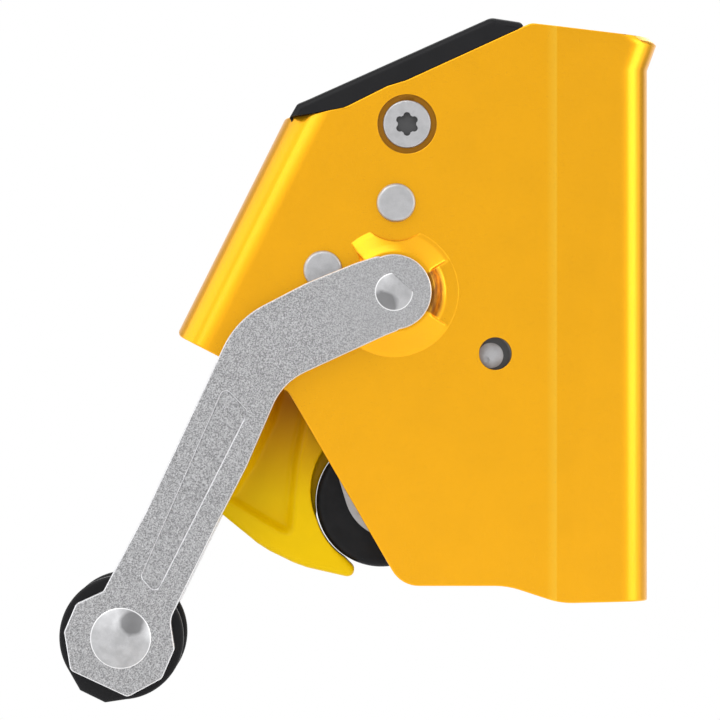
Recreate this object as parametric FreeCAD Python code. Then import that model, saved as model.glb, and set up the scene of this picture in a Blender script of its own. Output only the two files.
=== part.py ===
"""Mobile fall arrester that follows a vertical safety rope and locks on it in a fall.

A bent aluminium frame holds the rope in a channel along its right side. An arm turns on the
frame's main axle and carries a toothed wheel between two cheeks: a pull on the lanyard at the
arm's lower end presses the wheel onto the rope, and centrifugal pawls stop the wheel when the
rope runs too fast. Lifting the arm draws the wheel away, so that the rope goes in from behind.

X points right, Y away from the side with the round window, Z up along the rope. The origin is
on the axis of the rope, in the middle of the frame's depth. All lengths are in millimetres.
"""
import FreeCAD
import Part
import math
import os

Vector = FreeCAD.Vector

# Rope channel and bent frame
rope_radius = 5.5
rope_play = 0.6
plate_gap = 17.0
wall = 3.0
facet_x = -8.2
facet_angle = 9.0
channel_bend = 6.5
left_bend = 7.5
left_reach = 41.4
rise = 51.0
drop = 59.15
slot_reach = 2.6
lip_reach = 6.5
flare_height = 4.8
flare_drop = 3.8
flare_reach = 1.75
flare_round = 1.7
crisp_round = 1.2
soft_round = 5.9
wide_round = 15.0
ear_round = 2.5
window_radius = 3.05
window_offset = 0.82
window_rise = 0.36
cut_overrun = 30.0
round_limit_share = 0.48

# Wheel and clutch
wheel_radius = 17.0
wheel_width = 9.0
wheel_height = 0.85
closed_gap = 10.0
tooth_count = 40
tooth_depth = 0.9
rim_thickness = 2.6
web_thickness = 2.4
hub_end = 1.4
wheel_axle_radius = 2.4
bearing_radius = 4.1
axle_dimple_radius = 0.55
axle_dimple_offset = 0.8
clutch_gap = 0.5
clutch_tooth_count = 16
clutch_disc = 1.0
clutch_rivet_radius = 0.9
clutch_rivet_count = 3
clutch_rivet_start = 185.0
clutch_rivet_step = 35.0
pawl_thickness = 3.0
pawl_heel_angle = 4.0
pawl_nose_angle = 80.0
pawl_end_angle = 87.0
garter_radius = 0.4

# Main axle and its bearings
axle_radius = 3.6
axle_flat = 2.4
axle_flat_angle = 48.0
axle_dome = 0.4
axle_gap = 1.46
axle_angle = 146.95
bush_radius = 5.2
boss_radius = 12.35
boss_top = 7.6
boss_core = 8.9
boss_height = 2.5
right_notch_angles = (-34.0, 28.0)
left_notch_angles = (141.0, 208.0)

# Cheeks that carry the wheel, the roller and the catch
cheek_thickness = 2.5
cheek_gap = 11.4
cheek_boss = 8.0
wheel_boss = 6.2
roller_boss = 9.65
lug_radius = 3.3
lug_neck = 3.5
lug_angle = -14.0
stop_pin_radius = 1.5

# Buffer roller
roller_radius = 12.45
roller_width = 10.0
roller_axle_radius = 2.5
roller_hub = 4.2
roller_drop = 39.95
roller_side = 2.34
roller_edge = 1.4

# Safety catch
catch_length = 33.0
catch_reach = 24.0
catch_width = 10.8
catch_pin_radius = 1.5
catch_boss = 4.0
catch_side = 7.94
catch_rise = 17.6
catch_rim = 1.5
catch_slot = 4.0
catch_spring_radius = 2.9
catch_spring_leg = 7.2
catch_wire_radius = 0.35
catch_spring_turns = 2

# Arm and its end
arm_length = 83.4
arm_angle = 231.73
arm_thickness = 4.0
arm_head = 7.15
arm_bow = 17.0
arm_pocket_depth = 0.5
lanyard_axle_radius = 4.0
lanyard_head_radius = 5.75
lanyard_head_height = 1.7
lanyard_sleeve_wall = 1.0
lanyard_flange_radius = 11.8
lanyard_waist_radius = 7.2
lanyard_flange_width = 2.6
closing_screw_radius = 2.0
closing_screw_length = 9.0

# Cross pins and the closing spring
pin_radius = 2.5
pin_head_radius = 3.7
pin_head_height = 2.0
pin_head_round = 0.7
spotface_radius = 7.2
sleeve_radius = 4.0
spring_radius = 5.2
spring_wire_radius = 0.5
spring_turns = 3
spring_pitch = 1.6

# Top cover and its screw
cover_round = 1.2
cover_boss = 5.6
screw_head_radius = 4.56
screw_head_height = 1.5
screw_recess_radius = 2.25
screw_recess_depth = 1.3
screw_radius = 2.0
counterbore_radius = 5.6
counterbore_depth = 1.6
nut_radius = 3.0

# Clearances
running_fit = 0.05
push_fit = 0.02
side_gap = 0.3
catch_gap = 0.5
stop_gap = 0.3

# Places that follow from the sizes above
half_gap = plate_gap / 2
half_depth = half_gap + wall
channel_outer = rope_radius + rope_play + wall
wheel_x = rope_radius + rope_play - closed_gap - wheel_radius
wheel_z = wheel_height
axle_distance = wheel_radius + axle_radius + axle_gap
pivot_x = wheel_x + axle_distance * math.cos(math.radians(axle_angle))
pivot_z = wheel_z + axle_distance * math.sin(math.radians(axle_angle))
right_reach = channel_outer - pivot_x
cheek_inner = cheek_gap / 2
cheek_outer = cheek_inner + cheek_thickness
arm_inner = half_depth + boss_height
arm_outer = arm_inner + arm_thickness
roller_x = pivot_x - roller_side
roller_z = pivot_z - roller_drop
catch_x = roller_x - catch_side
catch_z = roller_z + catch_rise
end_x = pivot_x + arm_length * math.cos(math.radians(arm_angle))
end_z = pivot_z + arm_length * math.sin(math.radians(arm_angle))
clutch_radius = wheel_radius - rim_thickness - clutch_gap

# Shares of the clutch's radius
hub_share = 0.388
clutch_wall_share = 0.194
clutch_tooth_share = 0.086
clutch_rivet_share = 0.906
pawl_pin_share = 0.0575
pawl_pin_circle_share = 0.532
pawl_inner_share = 0.432
pawl_back_share = 0.626
pawl_nose_share = 0.669
pawl_boss_share = 0.115
hub_radius = clutch_radius * hub_share
clutch_root = clutch_radius * (1 - clutch_wall_share)
clutch_tip = clutch_root - clutch_radius * clutch_tooth_share
clutch_rivet_circle = clutch_radius * clutch_rivet_share
pawl_pin_radius = clutch_radius * pawl_pin_share
pawl_pin_circle = clutch_radius * pawl_pin_circle_share
pawl_inner = clutch_radius * pawl_inner_share
pawl_back = clutch_radius * pawl_back_share
pawl_nose = clutch_radius * pawl_nose_share
pawl_boss = clutch_radius * pawl_boss_share

# Shares of the frame's reach from the main axle: left and right, down and up
left_foot_share = (-1.000, -0.137)
left_head_share = (-0.499, 0.653)
upper_pin_share = (0.009, 0.333)
lower_pin_share = (-0.325, 0.083)
screw_share = (0.052, 0.627)
end_boss_share = (0.004, -0.630)

# Shares of the recess radius, and of the bush radius at angles round its foot
lobe_core_share = 0.78
lobe_share = 0.30
bush_foot_shares = ((-148.0, 1.0), (-128.0, 1.08), (-104.0, 1.08), (-86.0, 1.0))


def frame_place(x_share, z_share):
    """Point of the frame at shares of its reach from the main axle."""
    sideways = right_reach if x_share > 0 else left_reach
    upright = rise if z_share > 0 else drop
    return pivot_x + x_share * sideways, pivot_z + z_share * upright


def frame_outline():
    """Corners of the near plate, from the lower end of the left wall and anticlockwise."""
    corner_shares = [
        (*left_foot_share, crisp_round),
        (-0.484, -0.320, ear_round),
        (0.029, -0.944, soft_round),
        (0.446, -0.944, wide_round),
        (0.654, -1.000, wide_round),
        (1.200, -0.992, 0),
        (1.200, 0.932, 0),
        (0.538, 1.004, ear_round),
        (0.414, 0.949, soft_round),
        (0.048, 0.791, soft_round),
        (-0.027, 0.771, soft_round),
        (-0.224, 0.691, soft_round),
        (-0.379, 0.666, soft_round),
        (*left_head_share, crisp_round),
    ]
    return [(*frame_place(x_share, z_share), radius) for x_share, z_share, radius in corner_shares]


# Basic shapes
def rounded_wire(corners, to_space):
    """Closed wire through (a, b, radius) corners, each rounded by a tangent arc."""
    count = len(corners)
    edges = []
    starts = []
    ends = []
    arcs = []
    for number in range(count):
        before = corners[number - 1]
        here = corners[number]
        after = corners[(number + 1) % count]
        back = (before[0] - here[0], before[1] - here[1])
        ahead = (after[0] - here[0], after[1] - here[1])
        back_length = math.hypot(*back)
        ahead_length = math.hypot(*ahead)
        back = (back[0] / back_length, back[1] / back_length)
        ahead = (ahead[0] / ahead_length, ahead[1] / ahead_length)
        cosine = max(-1, min(1, back[0] * ahead[0] + back[1] * ahead[1]))
        half_angle = math.acos(cosine) / 2
        setback = min(here[2] / math.tan(half_angle), min(back_length, ahead_length) * round_limit_share)
        radius = setback * math.tan(half_angle)
        starts.append((here[0] + back[0] * setback, here[1] + back[1] * setback))
        ends.append((here[0] + ahead[0] * setback, here[1] + ahead[1] * setback))
        inward = (back[0] + ahead[0], back[1] + ahead[1])
        length = math.hypot(*inward)
        depth = radius / math.sin(half_angle) - radius
        if here[2] > 0:
            arcs.append((here[0] + inward[0] / length * depth, here[1] + inward[1] / length * depth))
        else:
            arcs.append(None)
    for number in range(count):
        if arcs[number]:
            points = [to_space(*starts[number]), to_space(*arcs[number]), to_space(*ends[number])]
            edges.append(Part.Arc(*points).toShape())
        line_start = to_space(*ends[number])
        line_end = to_space(*starts[(number + 1) % count])
        edges.append(Part.makeLine(line_start, line_end))
    return Part.Wire(edges)


def upright(level):
    """Turns outline points x and z into points at depth level."""
    return lambda x, z: Vector(x, level, z)


def level_at(height):
    """Turns outline points x and y into points at this height."""
    return lambda x, y: Vector(x, y, height)


def plate(corners, start, end):
    """Plate with an upright outline, from depth start to depth end."""
    return Part.Face(rounded_wire(corners, upright(start))).extrude(Vector(0, end - start, 0))


def post(corners, low, high):
    """Column with a level outline, from height low to height high."""
    return Part.Face(rounded_wire(corners, level_at(low))).extrude(Vector(0, 0, high - low))


def disc(x, z, radius, start, end):
    """Round bar across the frame, from depth start to depth end."""
    return Part.makeCylinder(radius, end - start, Vector(x, start, z), Vector(0, 1, 0))


def tube(x, z, outer, inner, start, end):
    """Ring across the frame."""
    return disc(x, z, outer, start, end).cut(disc(x, z, inner, start, end))


def rim_edges(bar, level):
    """Circular edge of a bar across the frame at depth level."""
    round_edges = [edge for edge in bar.Edges if len(edge.Vertexes) == 1]
    return [edge for edge in round_edges if abs(edge.Vertexes[0].Y - level) < push_fit]


def domed_end(x, z, radius, height, level, away):
    """Shallow dome on a bar's end, standing out from depth level towards away, +1 or -1."""
    sphere_radius = (radius * radius + height * height) / (2 * height)
    centre = Vector(x, level + away * (height - sphere_radius), z)
    start = min(level, level + away * height)
    return Part.makeSphere(sphere_radius, centre).common(disc(x, z, radius, start, start + height))


def hull_plate(circles, start, end):
    """Plate round circles (x, z, radius), which are given anticlockwise and form a convex outline."""
    count = len(circles)
    normals = []
    for number in range(count):
        here = circles[number]
        after = circles[(number + 1) % count]
        heading = math.atan2(after[1] - here[1], after[0] - here[0])
        distance = math.hypot(after[0] - here[0], after[1] - here[1])
        normals.append(heading - math.acos((here[2] - after[2]) / distance))
    to_space = upright(start)
    edges = []
    for number in range(count):
        here = circles[number]
        after = circles[(number + 1) % count]
        normal = normals[number]
        before = normals[number - 1]
        turn = (normal - before) % (2 * math.pi)
        around = []
        for angle in (before, before + turn / 2, before + turn):
            around.append(to_space(here[0] + here[2] * math.cos(angle), here[1] + here[2] * math.sin(angle)))
        edges.append(Part.Arc(*around).toShape())
        leaving = to_space(here[0] + here[2] * math.cos(normal), here[1] + here[2] * math.sin(normal))
        arriving = to_space(after[0] + after[2] * math.cos(normal), after[1] + after[2] * math.sin(normal))
        edges.append(Part.makeLine(leaving, arriving))
    return Part.Face(Part.Wire(edges)).extrude(Vector(0, end - start, 0))


def mirrored(shape):
    """The same shape on the far side of the frame."""
    return shape.mirror(Vector(0, 0, 0), Vector(0, 1, 0))


def turned(shape, x, z, degrees):
    """Copy turned about an axis across the frame, anticlockwise seen from the near side."""
    copy = shape.copy()
    copy.rotate(Vector(x, 0, z), Vector(0, -1, 0), degrees)
    return copy


def fused(first, *others):
    """One solid of touching shapes, with the seams between level faces taken out."""
    return first.multiFuse(list(others)).removeSplitter()


def spiral_wire(x, z, radius, first_angle, last_angle, first_y, last_y, first_leg, last_leg):
    """Path of a torsion spring: a straight leg, clockwise turns about an axis across the frame, a leg."""
    sweep = first_angle - last_angle
    pieces = math.ceil(sweep / 90)
    lift = last_y - first_y
    slope = lift / (radius * math.radians(sweep))
    points = []
    for number in range(pieces + 1):
        share = number / pieces
        angle = math.radians(first_angle - share * sweep)
        place = Vector(x + radius * math.cos(angle), first_y + share * lift, z + radius * math.sin(angle))
        along = Vector(math.sin(angle), slope if 0 < number < pieces else 0, -math.cos(angle))
        along.normalize()
        points.append((place, along))
    edges = [Part.makeLine(points[0][0] - points[0][1] * first_leg, points[0][0])]
    for number in range(pieces):
        edges.extend(biarc(*points[number], *points[number + 1]))
    edges.append(Part.makeLine(points[-1][0], points[-1][0] + points[-1][1] * last_leg))
    return Part.Wire(edges)


def biarc(start, start_along, end, end_along):
    """Two arcs that leave start and reach end in the given directions and meet smoothly."""
    chord = end - start
    both = start_along + end_along
    spread = 2 * (1 - start_along.dot(end_along))
    swing = chord.dot(both)
    reach = (math.sqrt(swing * swing + spread * chord.dot(chord)) - swing) / spread
    first_corner = start + start_along * reach
    second_corner = end - end_along * reach
    joint = (first_corner + second_corner) * 0.5
    return [corner_arc(start, first_corner, joint), corner_arc(joint, second_corner, end)]


def corner_arc(start, corner, end):
    """Arc from start to end that both runs to the corner touch."""
    middle = (start + end) * 0.5
    outward = corner - middle
    half_chord = (end - start).Length / 2
    run = (corner - start).Length
    height = outward.Length
    outward.normalize()
    return Part.Arc(start, middle + outward * (half_chord / height * (run - half_chord)), end).toShape()


def wire_spring(path, wire_radius, name):
    """Round wire along a path, whose least gap to itself is measured over the turns and printed."""
    start = path.Edges[0].Vertexes[0].Point
    along = path.Edges[0].tangentAt(path.Edges[0].FirstParameter)
    profile = Part.Wire(Part.makeCircle(wire_radius, start, along))
    spring = path.makePipeShell([profile], True, False)
    places = path.discretize(Number=400)
    step = path.Length / 399
    apart = math.ceil(4 * wire_radius / step) + 2
    gap = path.Length
    for number, place in enumerate(places):
        for other in places[number + apart:]:
            gap = min(gap, (place - other).Length - 2 * wire_radius)
    print(f"{name}: least gap between turns {gap:.2f} mm, length {path.Length:.1f} mm")
    return spring


def save(name, shape):
    """Writes one piece, or a group of like pieces, to its file."""
    solids = shape.Solids
    whole = solids[0] if len(solids) == 1 else Part.makeCompound(solids)
    print(f"{name}: {len(solids)} solid, {whole.Volume:.1f} mm3, valid {whole.isValid()}")
    whole.exportStep(f"parts/{name}.step")


# Frame
def channel_corners(inset, reach):
    """Level outline of the frame's right side, drawn in by inset and widened to the right by reach."""
    slope = math.tan(math.radians(facet_angle))
    side = half_depth - inset
    start_x = facet_x - inset * math.tan(math.radians(facet_angle / 2))
    wall_x = channel_outer - inset
    corner_y = side - (wall_x - start_x) * slope
    far_left = pivot_x - 2 * left_reach
    bend = channel_bend - inset
    return [
        (far_left, -side, 0),
        (start_x, -side, 0),
        (wall_x + reach, -corner_y, bend),
        (wall_x + reach, corner_y, bend),
        (start_x, side, 0),
        (far_left, side, 0),
    ]


def channel_prism(inset, lip_round):
    """Everything left of the channel's wall, which flares out at the top and is drawn in by lip_round."""
    top = pivot_z + rise
    flare_top = top - flare_drop
    flare_foot = flare_top - flare_height
    rim = flare_top + flare_round
    bottom = pivot_z - drop - cut_overrun
    reach = flare_reach - lip_round
    straight = post(channel_corners(inset, 0), bottom, flare_foot)
    foot = rounded_wire(channel_corners(inset, 0), level_at(flare_foot))
    lip = rounded_wire(channel_corners(inset, flare_reach), level_at(flare_top))
    crest = rounded_wire(channel_corners(inset, reach), level_at(rim))
    flare = Part.makeLoft([foot, lip], True, True)
    shoulder = Part.makeLoft([lip, crest], True, True)
    above = post(channel_corners(inset, reach), rim, top + cut_overrun)
    return fused(straight, flare, shoulder, above)


def left_prism(inset):
    """Everything right of the slanted left wall, with the wall's two bends."""
    low_x, low_z = frame_place(*left_foot_share)
    high_x, high_z = frame_place(*left_head_share)
    slant = math.degrees(math.atan2(high_x - low_x, high_z - low_z))
    side = half_depth - inset
    bend = left_bend - inset
    reach = left_reach + right_reach + cut_overrun
    length = rise + drop + cut_overrun
    corners = [(inset, -side, bend), (reach, -side, 0), (reach, side, 0), (inset, side, bend)]
    prism = post(corners, -length, length)
    prism.rotate(Vector(0, 0, 0), Vector(0, 1, 0), slant)
    prism.translate(Vector(low_x, 0, low_z))
    return prism


def sector(x, z, radius, first_angle, last_angle, start, end):
    """Wedge of a disc between two angles, for cutting."""
    middle = (first_angle + last_angle) / 2
    points = [(x, z, 0)]
    for angle in (first_angle, middle, last_angle):
        turn = math.radians(angle)
        points.append((x + radius * math.cos(turn), z + radius * math.sin(turn), 0))
    return plate(points, start, end)


def axle_boss():
    """Raised cone round the main axle on the near plate, with two notches down to a steeper core."""
    foot = Vector(pivot_x, -half_depth, pivot_z)
    toward = Vector(0, -1, 0)
    cone = Part.makeCone(boss_radius, boss_top, boss_height, foot, toward)
    core = Part.makeCone(boss_core, boss_top, boss_height, foot, toward)
    start = -half_depth - 2 * boss_height
    right_notch = sector(pivot_x, pivot_z, 2 * boss_radius, *right_notch_angles, start, -half_depth)
    left_notch = sector(pivot_x, pivot_z, 2 * boss_radius, *left_notch_angles, start, -half_depth)
    boss = cone.cut(right_notch).cut(left_notch).fuse(core)
    for share in (upper_pin_share, lower_pin_share):
        pin_x, pin_z = frame_place(*share)
        boss = boss.cut(disc(pin_x, pin_z, spotface_radius, start, -half_depth))
    return boss


def make_frame():
    """Bent plate: near plate, slanted left wall, far plate with the rope slot, and rope channel."""
    blank = plate(frame_outline(), -half_depth, half_depth)
    body = blank.common(channel_prism(0, flare_round)).common(left_prism(0))
    body = body.cut(channel_prism(wall, 0).common(left_prism(wall)))
    slot_left = wheel_x + slot_reach
    slot_right = channel_outer - lip_reach
    low = pivot_z - drop - cut_overrun
    height = rise + drop + 2 * cut_overrun
    slot = Part.makeBox(slot_right - slot_left, half_depth + cut_overrun, height, Vector(slot_left, 0, low))
    body = body.cut(slot)
    body = fused(body, axle_boss(), mirrored(axle_boss()))
    reach = half_depth + boss_height + cut_overrun
    holes = [disc(pivot_x, pivot_z, bush_radius + push_fit, -reach, reach)]
    for share in (upper_pin_share, lower_pin_share):
        holes.append(disc(*frame_place(*share), pin_radius + push_fit, -reach, reach))
    screw_x, screw_z = frame_place(*screw_share)
    holes.append(disc(screw_x, screw_z, nut_radius + push_fit, -reach, reach))
    near_seat = half_depth - counterbore_depth
    holes.append(disc(screw_x, screw_z, counterbore_radius, -reach, -near_seat))
    holes.append(disc(screw_x, screw_z, counterbore_radius, near_seat, reach))
    window_x = wheel_x + window_offset
    holes.append(disc(window_x, wheel_z + window_rise, window_radius, -reach, 0))
    for hole in holes:
        body = body.cut(hole)
    return body


# Top cover and its screw
def make_cover(frame):
    """Black moulded cover on the sloping top edges, with a skirt and a screw boss between the plates."""
    cap_shares = [
        (-0.483, 0.645, 0),
        (-0.443, 0.702, crisp_round),
        (-0.398, 0.717, ear_round),
        (0.381, 1.024, ear_round),
        (0.503, 1.006, crisp_round),
        (0.513, 0.980, 0),
        (0.300, 0.700, 0),
        (-0.300, 0.500, 0),
    ]
    corners = [(*frame_place(x_share, z_share), radius) for x_share, z_share, radius in cap_shares]
    corners.reverse()
    filled = plate(frame_outline(), -half_depth, half_depth)
    cap = plate(corners, -half_depth, half_depth).cut(filled)
    cap = max(cap.Solids, key=lambda solid: solid.Volume)
    upper = [edge for edge in cap.Edges if is_upper_rim(edge, filled)]
    cap = cap.makeFillet(cover_round, upper)
    skirt_shares = [(-0.480, 0.653), (0.488, 0.990), (0.470, 0.880), (0.050, 0.700), (-0.420, 0.560)]
    skirt_corners = [(*frame_place(x_share, z_share), 0) for x_share, z_share in skirt_shares]
    skirt_corners.reverse()
    skirt = plate(skirt_corners, -half_gap, half_gap).common(filled)
    screw_x, screw_z = frame_place(*screw_share)
    boss = disc(screw_x, screw_z, cover_boss, -half_gap, half_gap)
    bore = disc(screw_x, screw_z, nut_radius + push_fit, -half_depth, half_depth)
    cover = fused(cap, skirt, boss).cut(frame).cut(bore)
    return max(cover.Solids, key=lambda solid: solid.Volume)


def is_upper_rim(edge, filled):
    """True for a cover edge on a side face that lies clear of the plates' top edges."""
    middle = edge.valueAt((edge.FirstParameter + edge.LastParameter) / 2)
    on_side = all(abs(abs(vertex.Y) - half_depth) < push_fit for vertex in edge.Vertexes)
    clear = filled.distToShape(Part.Vertex(middle))[0] > cover_round / 2
    return on_side and clear


def lobe_recess(x, z, radius, start, end):
    """Six lobe socket: a core with six round lobes."""
    core = radius * lobe_core_share
    lobe = radius * lobe_share
    recess = disc(x, z, core, start, end)
    for number in range(6):
        angle = math.radians(60 * number + 30)
        away = radius - lobe
        recess = recess.fuse(disc(x + away * math.cos(angle), z + away * math.sin(angle), lobe, start, end))
    return recess.removeSplitter()


def make_cover_screw():
    """Screw with a flat six lobe head in the near plate's counterbore."""
    x, z = frame_place(*screw_share)
    seat = counterbore_depth - half_depth
    top = seat - screw_head_height
    head = disc(x, z, screw_head_radius, top, seat)
    head = head.makeFillet(pin_head_round / 2, rim_edges(head, top))
    shank = disc(x, z, screw_radius, seat, half_gap)
    return fused(head, shank).cut(lobe_recess(x, z, screw_recess_radius, top, top + screw_recess_depth))


def make_cover_nut():
    """Sleeve nut through the cover's boss, its head in the far plate."""
    x, z = frame_place(*screw_share)
    seat = half_depth - counterbore_depth
    sleeve = disc(x, z, nut_radius, -seat, seat)
    head = disc(x, z, screw_head_radius, seat, seat + screw_head_height)
    nut = fused(sleeve, head).cut(disc(x, z, screw_radius + push_fit, -seat, half_gap + push_fit))
    floor = seat + screw_head_height - screw_recess_depth / 2
    return nut.cut(lobe_recess(x, z, screw_recess_radius, floor, half_depth))


# Cross pins and the closing spring
def make_cross_pin(share):
    """Steel pin through both plates with a flat rounded head at each end."""
    x, z = frame_place(*share)
    top = half_depth + pin_head_height
    heads = []
    for away in (-1, 1):
        start = half_depth if away > 0 else -top
        head = disc(x, z, pin_head_radius, start, start + pin_head_height)
        heads.append(head.makeFillet(pin_head_round, rim_edges(head, away * top)))
    return fused(disc(x, z, pin_radius, -half_depth, half_depth), *heads)


def make_pin_sleeve(share):
    """Spacer tube on a cross pin between the plates."""
    x, z = frame_place(*share)
    return tube(x, z, sleeve_radius, pin_radius + push_fit, -half_gap, half_gap)


def lug_place():
    """Centre of the stop pin, beside the upper sleeve."""
    sleeve_x, sleeve_z = frame_place(*upper_pin_share)
    distance = sleeve_radius + lug_radius + stop_gap
    angle = math.radians(lug_angle)
    return sleeve_x + distance * math.cos(angle), sleeve_z + distance * math.sin(angle)


def make_return_spring():
    """Torsion spring on the upper sleeve, between the lower sleeve and the stop pin of the cheeks."""
    x, z = frame_place(*upper_pin_share)
    lower_x, lower_z = frame_place(*lower_pin_share)
    lug_x, lug_z = lug_place()
    lower_distance = math.hypot(lower_x - x, lower_z - z)
    lower_angle = math.degrees(math.atan2(lower_z - z, lower_x - x))
    lower_touch = spring_radius - sleeve_radius - spring_wire_radius - running_fit
    first_angle = lower_angle - math.degrees(math.acos(lower_touch / lower_distance)) + 360
    lug_distance = math.hypot(lug_x - x, lug_z - z)
    pin_touch = spring_radius - stop_pin_radius - spring_wire_radius - running_fit
    last_angle = lug_angle + math.degrees(math.acos(pin_touch / lug_distance)) - 360 * spring_turns
    first_leg = math.sqrt(lower_distance ** 2 - lower_touch ** 2) + sleeve_radius / 2
    last_leg = math.sqrt(lug_distance ** 2 - pin_touch ** 2) + stop_pin_radius
    half_length = spring_pitch * (first_angle - last_angle) / 720
    path = spiral_wire(
        x, z, spring_radius, first_angle, last_angle, -half_length, half_length, first_leg, last_leg
    )
    return wire_spring(path, spring_wire_radius, "return_spring")


# Main axle and its bearings
def axle_shape(radius, flat, start, end):
    """Bar of the main axle with its flat, also used to cut the holes that it drives."""
    bar = disc(pivot_x, pivot_z, radius, start, end)
    corner = Vector(pivot_x + flat, start, pivot_z - 2 * radius)
    cutter = Part.makeBox(2 * radius, end - start, 4 * radius, corner)
    return bar.cut(turned(cutter, pivot_x, pivot_z, axle_flat_angle))


def make_pivot_axle():
    """Main axle with a flat, slightly domed at both ends."""
    ends = [domed_end(pivot_x, pivot_z, axle_radius, axle_dome, away * arm_outer, away) for away in (-1, 1)]
    bar = fused(disc(pivot_x, pivot_z, axle_radius, -arm_outer, arm_outer), *ends)
    return bar.common(axle_shape(axle_radius, axle_flat, -arm_outer - axle_dome, arm_outer + axle_dome))


def make_pivot_bushes():
    """Two plain bearings of the main axle, one in each plate."""
    near = tube(pivot_x, pivot_z, bush_radius, axle_radius + running_fit, -arm_inner, -half_gap)
    return Part.makeCompound([near, mirrored(near)])


# Arm
def arm_point(along, sideways):
    """Point of the arm, along from the main axle to the end axle and sideways towards the rope."""
    angle = math.radians(arm_angle)
    along *= arm_length
    sideways *= arm_length
    x = pivot_x + along * math.cos(angle) - sideways * math.sin(angle)
    z = pivot_z + along * math.sin(angle) + sideways * math.cos(angle)
    return x, z


def arm_outline():
    """Corners of the arm from the head, anticlockwise seen from the near side."""
    edge_round = arm_thickness / 3
    corner_shares = [
        (-0.051, -0.073, edge_round),
        (0.002, -0.109, arm_bow),
        (0.108, -0.169, arm_bow),
        (0.270, -0.242, arm_bow),
        (0.739, -0.133, arm_bow),
        (0.898, -0.105, arm_bow),
        (0.941, -0.097, edge_round),
        (1.001, -0.128, edge_round),
        (1.068, -0.110, edge_round),
        (1.128, -0.044, edge_round),
        (1.095, 0.095, edge_round),
        (1.014, 0.130, edge_round),
        (0.943, 0.111, edge_round),
        (0.896, 0.061, arm_bow / 4),
        (0.655, 0.010, arm_bow),
        (0.520, -0.016, arm_bow),
        (0.317, -0.070, arm_bow * 1.2),
        (0.215, -0.018, arm_bow),
        (0.090, 0.046, arm_bow),
        (0.054, 0.067, edge_round),
    ]
    return [(*arm_point(along, sideways), radius) for along, sideways, radius in corner_shares]


def arm_pocket():
    """Corners of the shallow pocket along the shank."""
    end_round = arm_thickness / 4
    corner_shares = [
        (0.408, -0.168, end_round),
        (0.862, -0.049, end_round),
        (0.870, -0.001, end_round),
        (0.418, -0.093, end_round),
    ]
    return [(*arm_point(along, sideways), radius) for along, sideways, radius in corner_shares]


def make_near_arm():
    """Bent steel arm plate with a round head, a shallow pocket and a many sided end."""
    body = plate(arm_outline(), -arm_outer, -arm_inner)
    body = fused(body, disc(pivot_x, pivot_z, arm_head, -arm_outer, -arm_inner))
    body = body.cut(plate(arm_pocket(), -arm_outer, arm_pocket_depth - arm_outer))
    body = body.cut(disc(end_x, end_z, lanyard_axle_radius + push_fit, -arm_outer, -arm_inner))
    return body.cut(axle_shape(axle_radius + push_fit, axle_flat + push_fit, -arm_outer, -arm_inner))


def make_end_axle():
    """Hollow steel bolt through both arms, with a wide domed head on the near side."""
    bar = disc(end_x, end_z, lanyard_axle_radius, -arm_outer, arm_outer)
    head = domed_end(end_x, end_z, lanyard_head_radius, lanyard_head_height, -arm_outer, -1)
    floor = arm_outer - closing_screw_length - push_fit
    bore = disc(end_x, end_z, closing_screw_radius + push_fit, floor, arm_outer)
    return fused(bar, head).cut(bore)


def make_end_screw():
    """Screw with the same domed head that closes the end bolt on the far side."""
    shank = disc(end_x, end_z, closing_screw_radius, arm_outer - closing_screw_length, arm_outer)
    return fused(shank, domed_end(end_x, end_z, lanyard_head_radius, lanyard_head_height, arm_outer, 1))


def make_end_sleeve():
    """Steel tube that holds the arms apart and carries the bush."""
    outer = lanyard_axle_radius + lanyard_sleeve_wall
    return tube(end_x, end_z, outer, lanyard_axle_radius + push_fit, -arm_inner, arm_inner)


def make_end_bush():
    """Black moulded spool for the lanyard's loop, with one flat on each flange."""
    start = -arm_inner
    flange = disc(end_x, end_z, lanyard_flange_radius, start, start + lanyard_flange_width)
    pad_corners = []
    for degrees, share in bush_foot_shares:
        angle = math.radians(degrees)
        reach = lanyard_flange_radius * share
        pad_corners.append((end_x + reach * math.cos(angle), end_z + reach * math.sin(angle), 0))
    pad_corners.append((end_x, end_z, 0))
    pad = plate(pad_corners, start, start + lanyard_flange_width)
    flange = fused(flange, pad)
    waist = disc(end_x, end_z, lanyard_waist_radius, start, -start)
    bore = disc(end_x, end_z, lanyard_axle_radius + lanyard_sleeve_wall + push_fit, start, -start)
    return fused(flange, waist, mirrored(flange)).cut(bore)


# Carrier
def make_near_cheek():
    """Cheek plate that joins the main axle to the wheel, the roller and the catch, with a stop lug."""
    start = -cheek_outer
    end = -cheek_inner
    lug_x, lug_z = lug_place()
    body = hull_plate(
        [
            (wheel_x, wheel_z, wheel_boss),
            (pivot_x, pivot_z, cheek_boss),
            (catch_x, catch_z, catch_boss),
            (*frame_place(*end_boss_share), roller_boss),
        ],
        start,
        end,
    )
    lug = hull_plate([(pivot_x, pivot_z, lug_neck), (lug_x, lug_z, lug_radius)], start, end)
    body = fused(body, lug)
    for x, z, radius in (
        (wheel_x, wheel_z, wheel_axle_radius),
        (roller_x, roller_z, roller_axle_radius),
        (catch_x, catch_z, catch_pin_radius),
        (lug_x, lug_z, stop_pin_radius),
    ):
        body = body.cut(disc(x, z, radius + push_fit, start, end))
    return body.cut(axle_shape(axle_radius + push_fit, axle_flat + push_fit, start, end))


def make_far_cheek():
    """Far cheek, the near one mirrored, with holes for the clutch rivets."""
    body = mirrored(make_near_cheek())
    for x, z in clutch_rivet_places():
        body = body.cut(disc(x, z, clutch_rivet_radius + push_fit, cheek_inner, cheek_outer))
    return body


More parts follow.
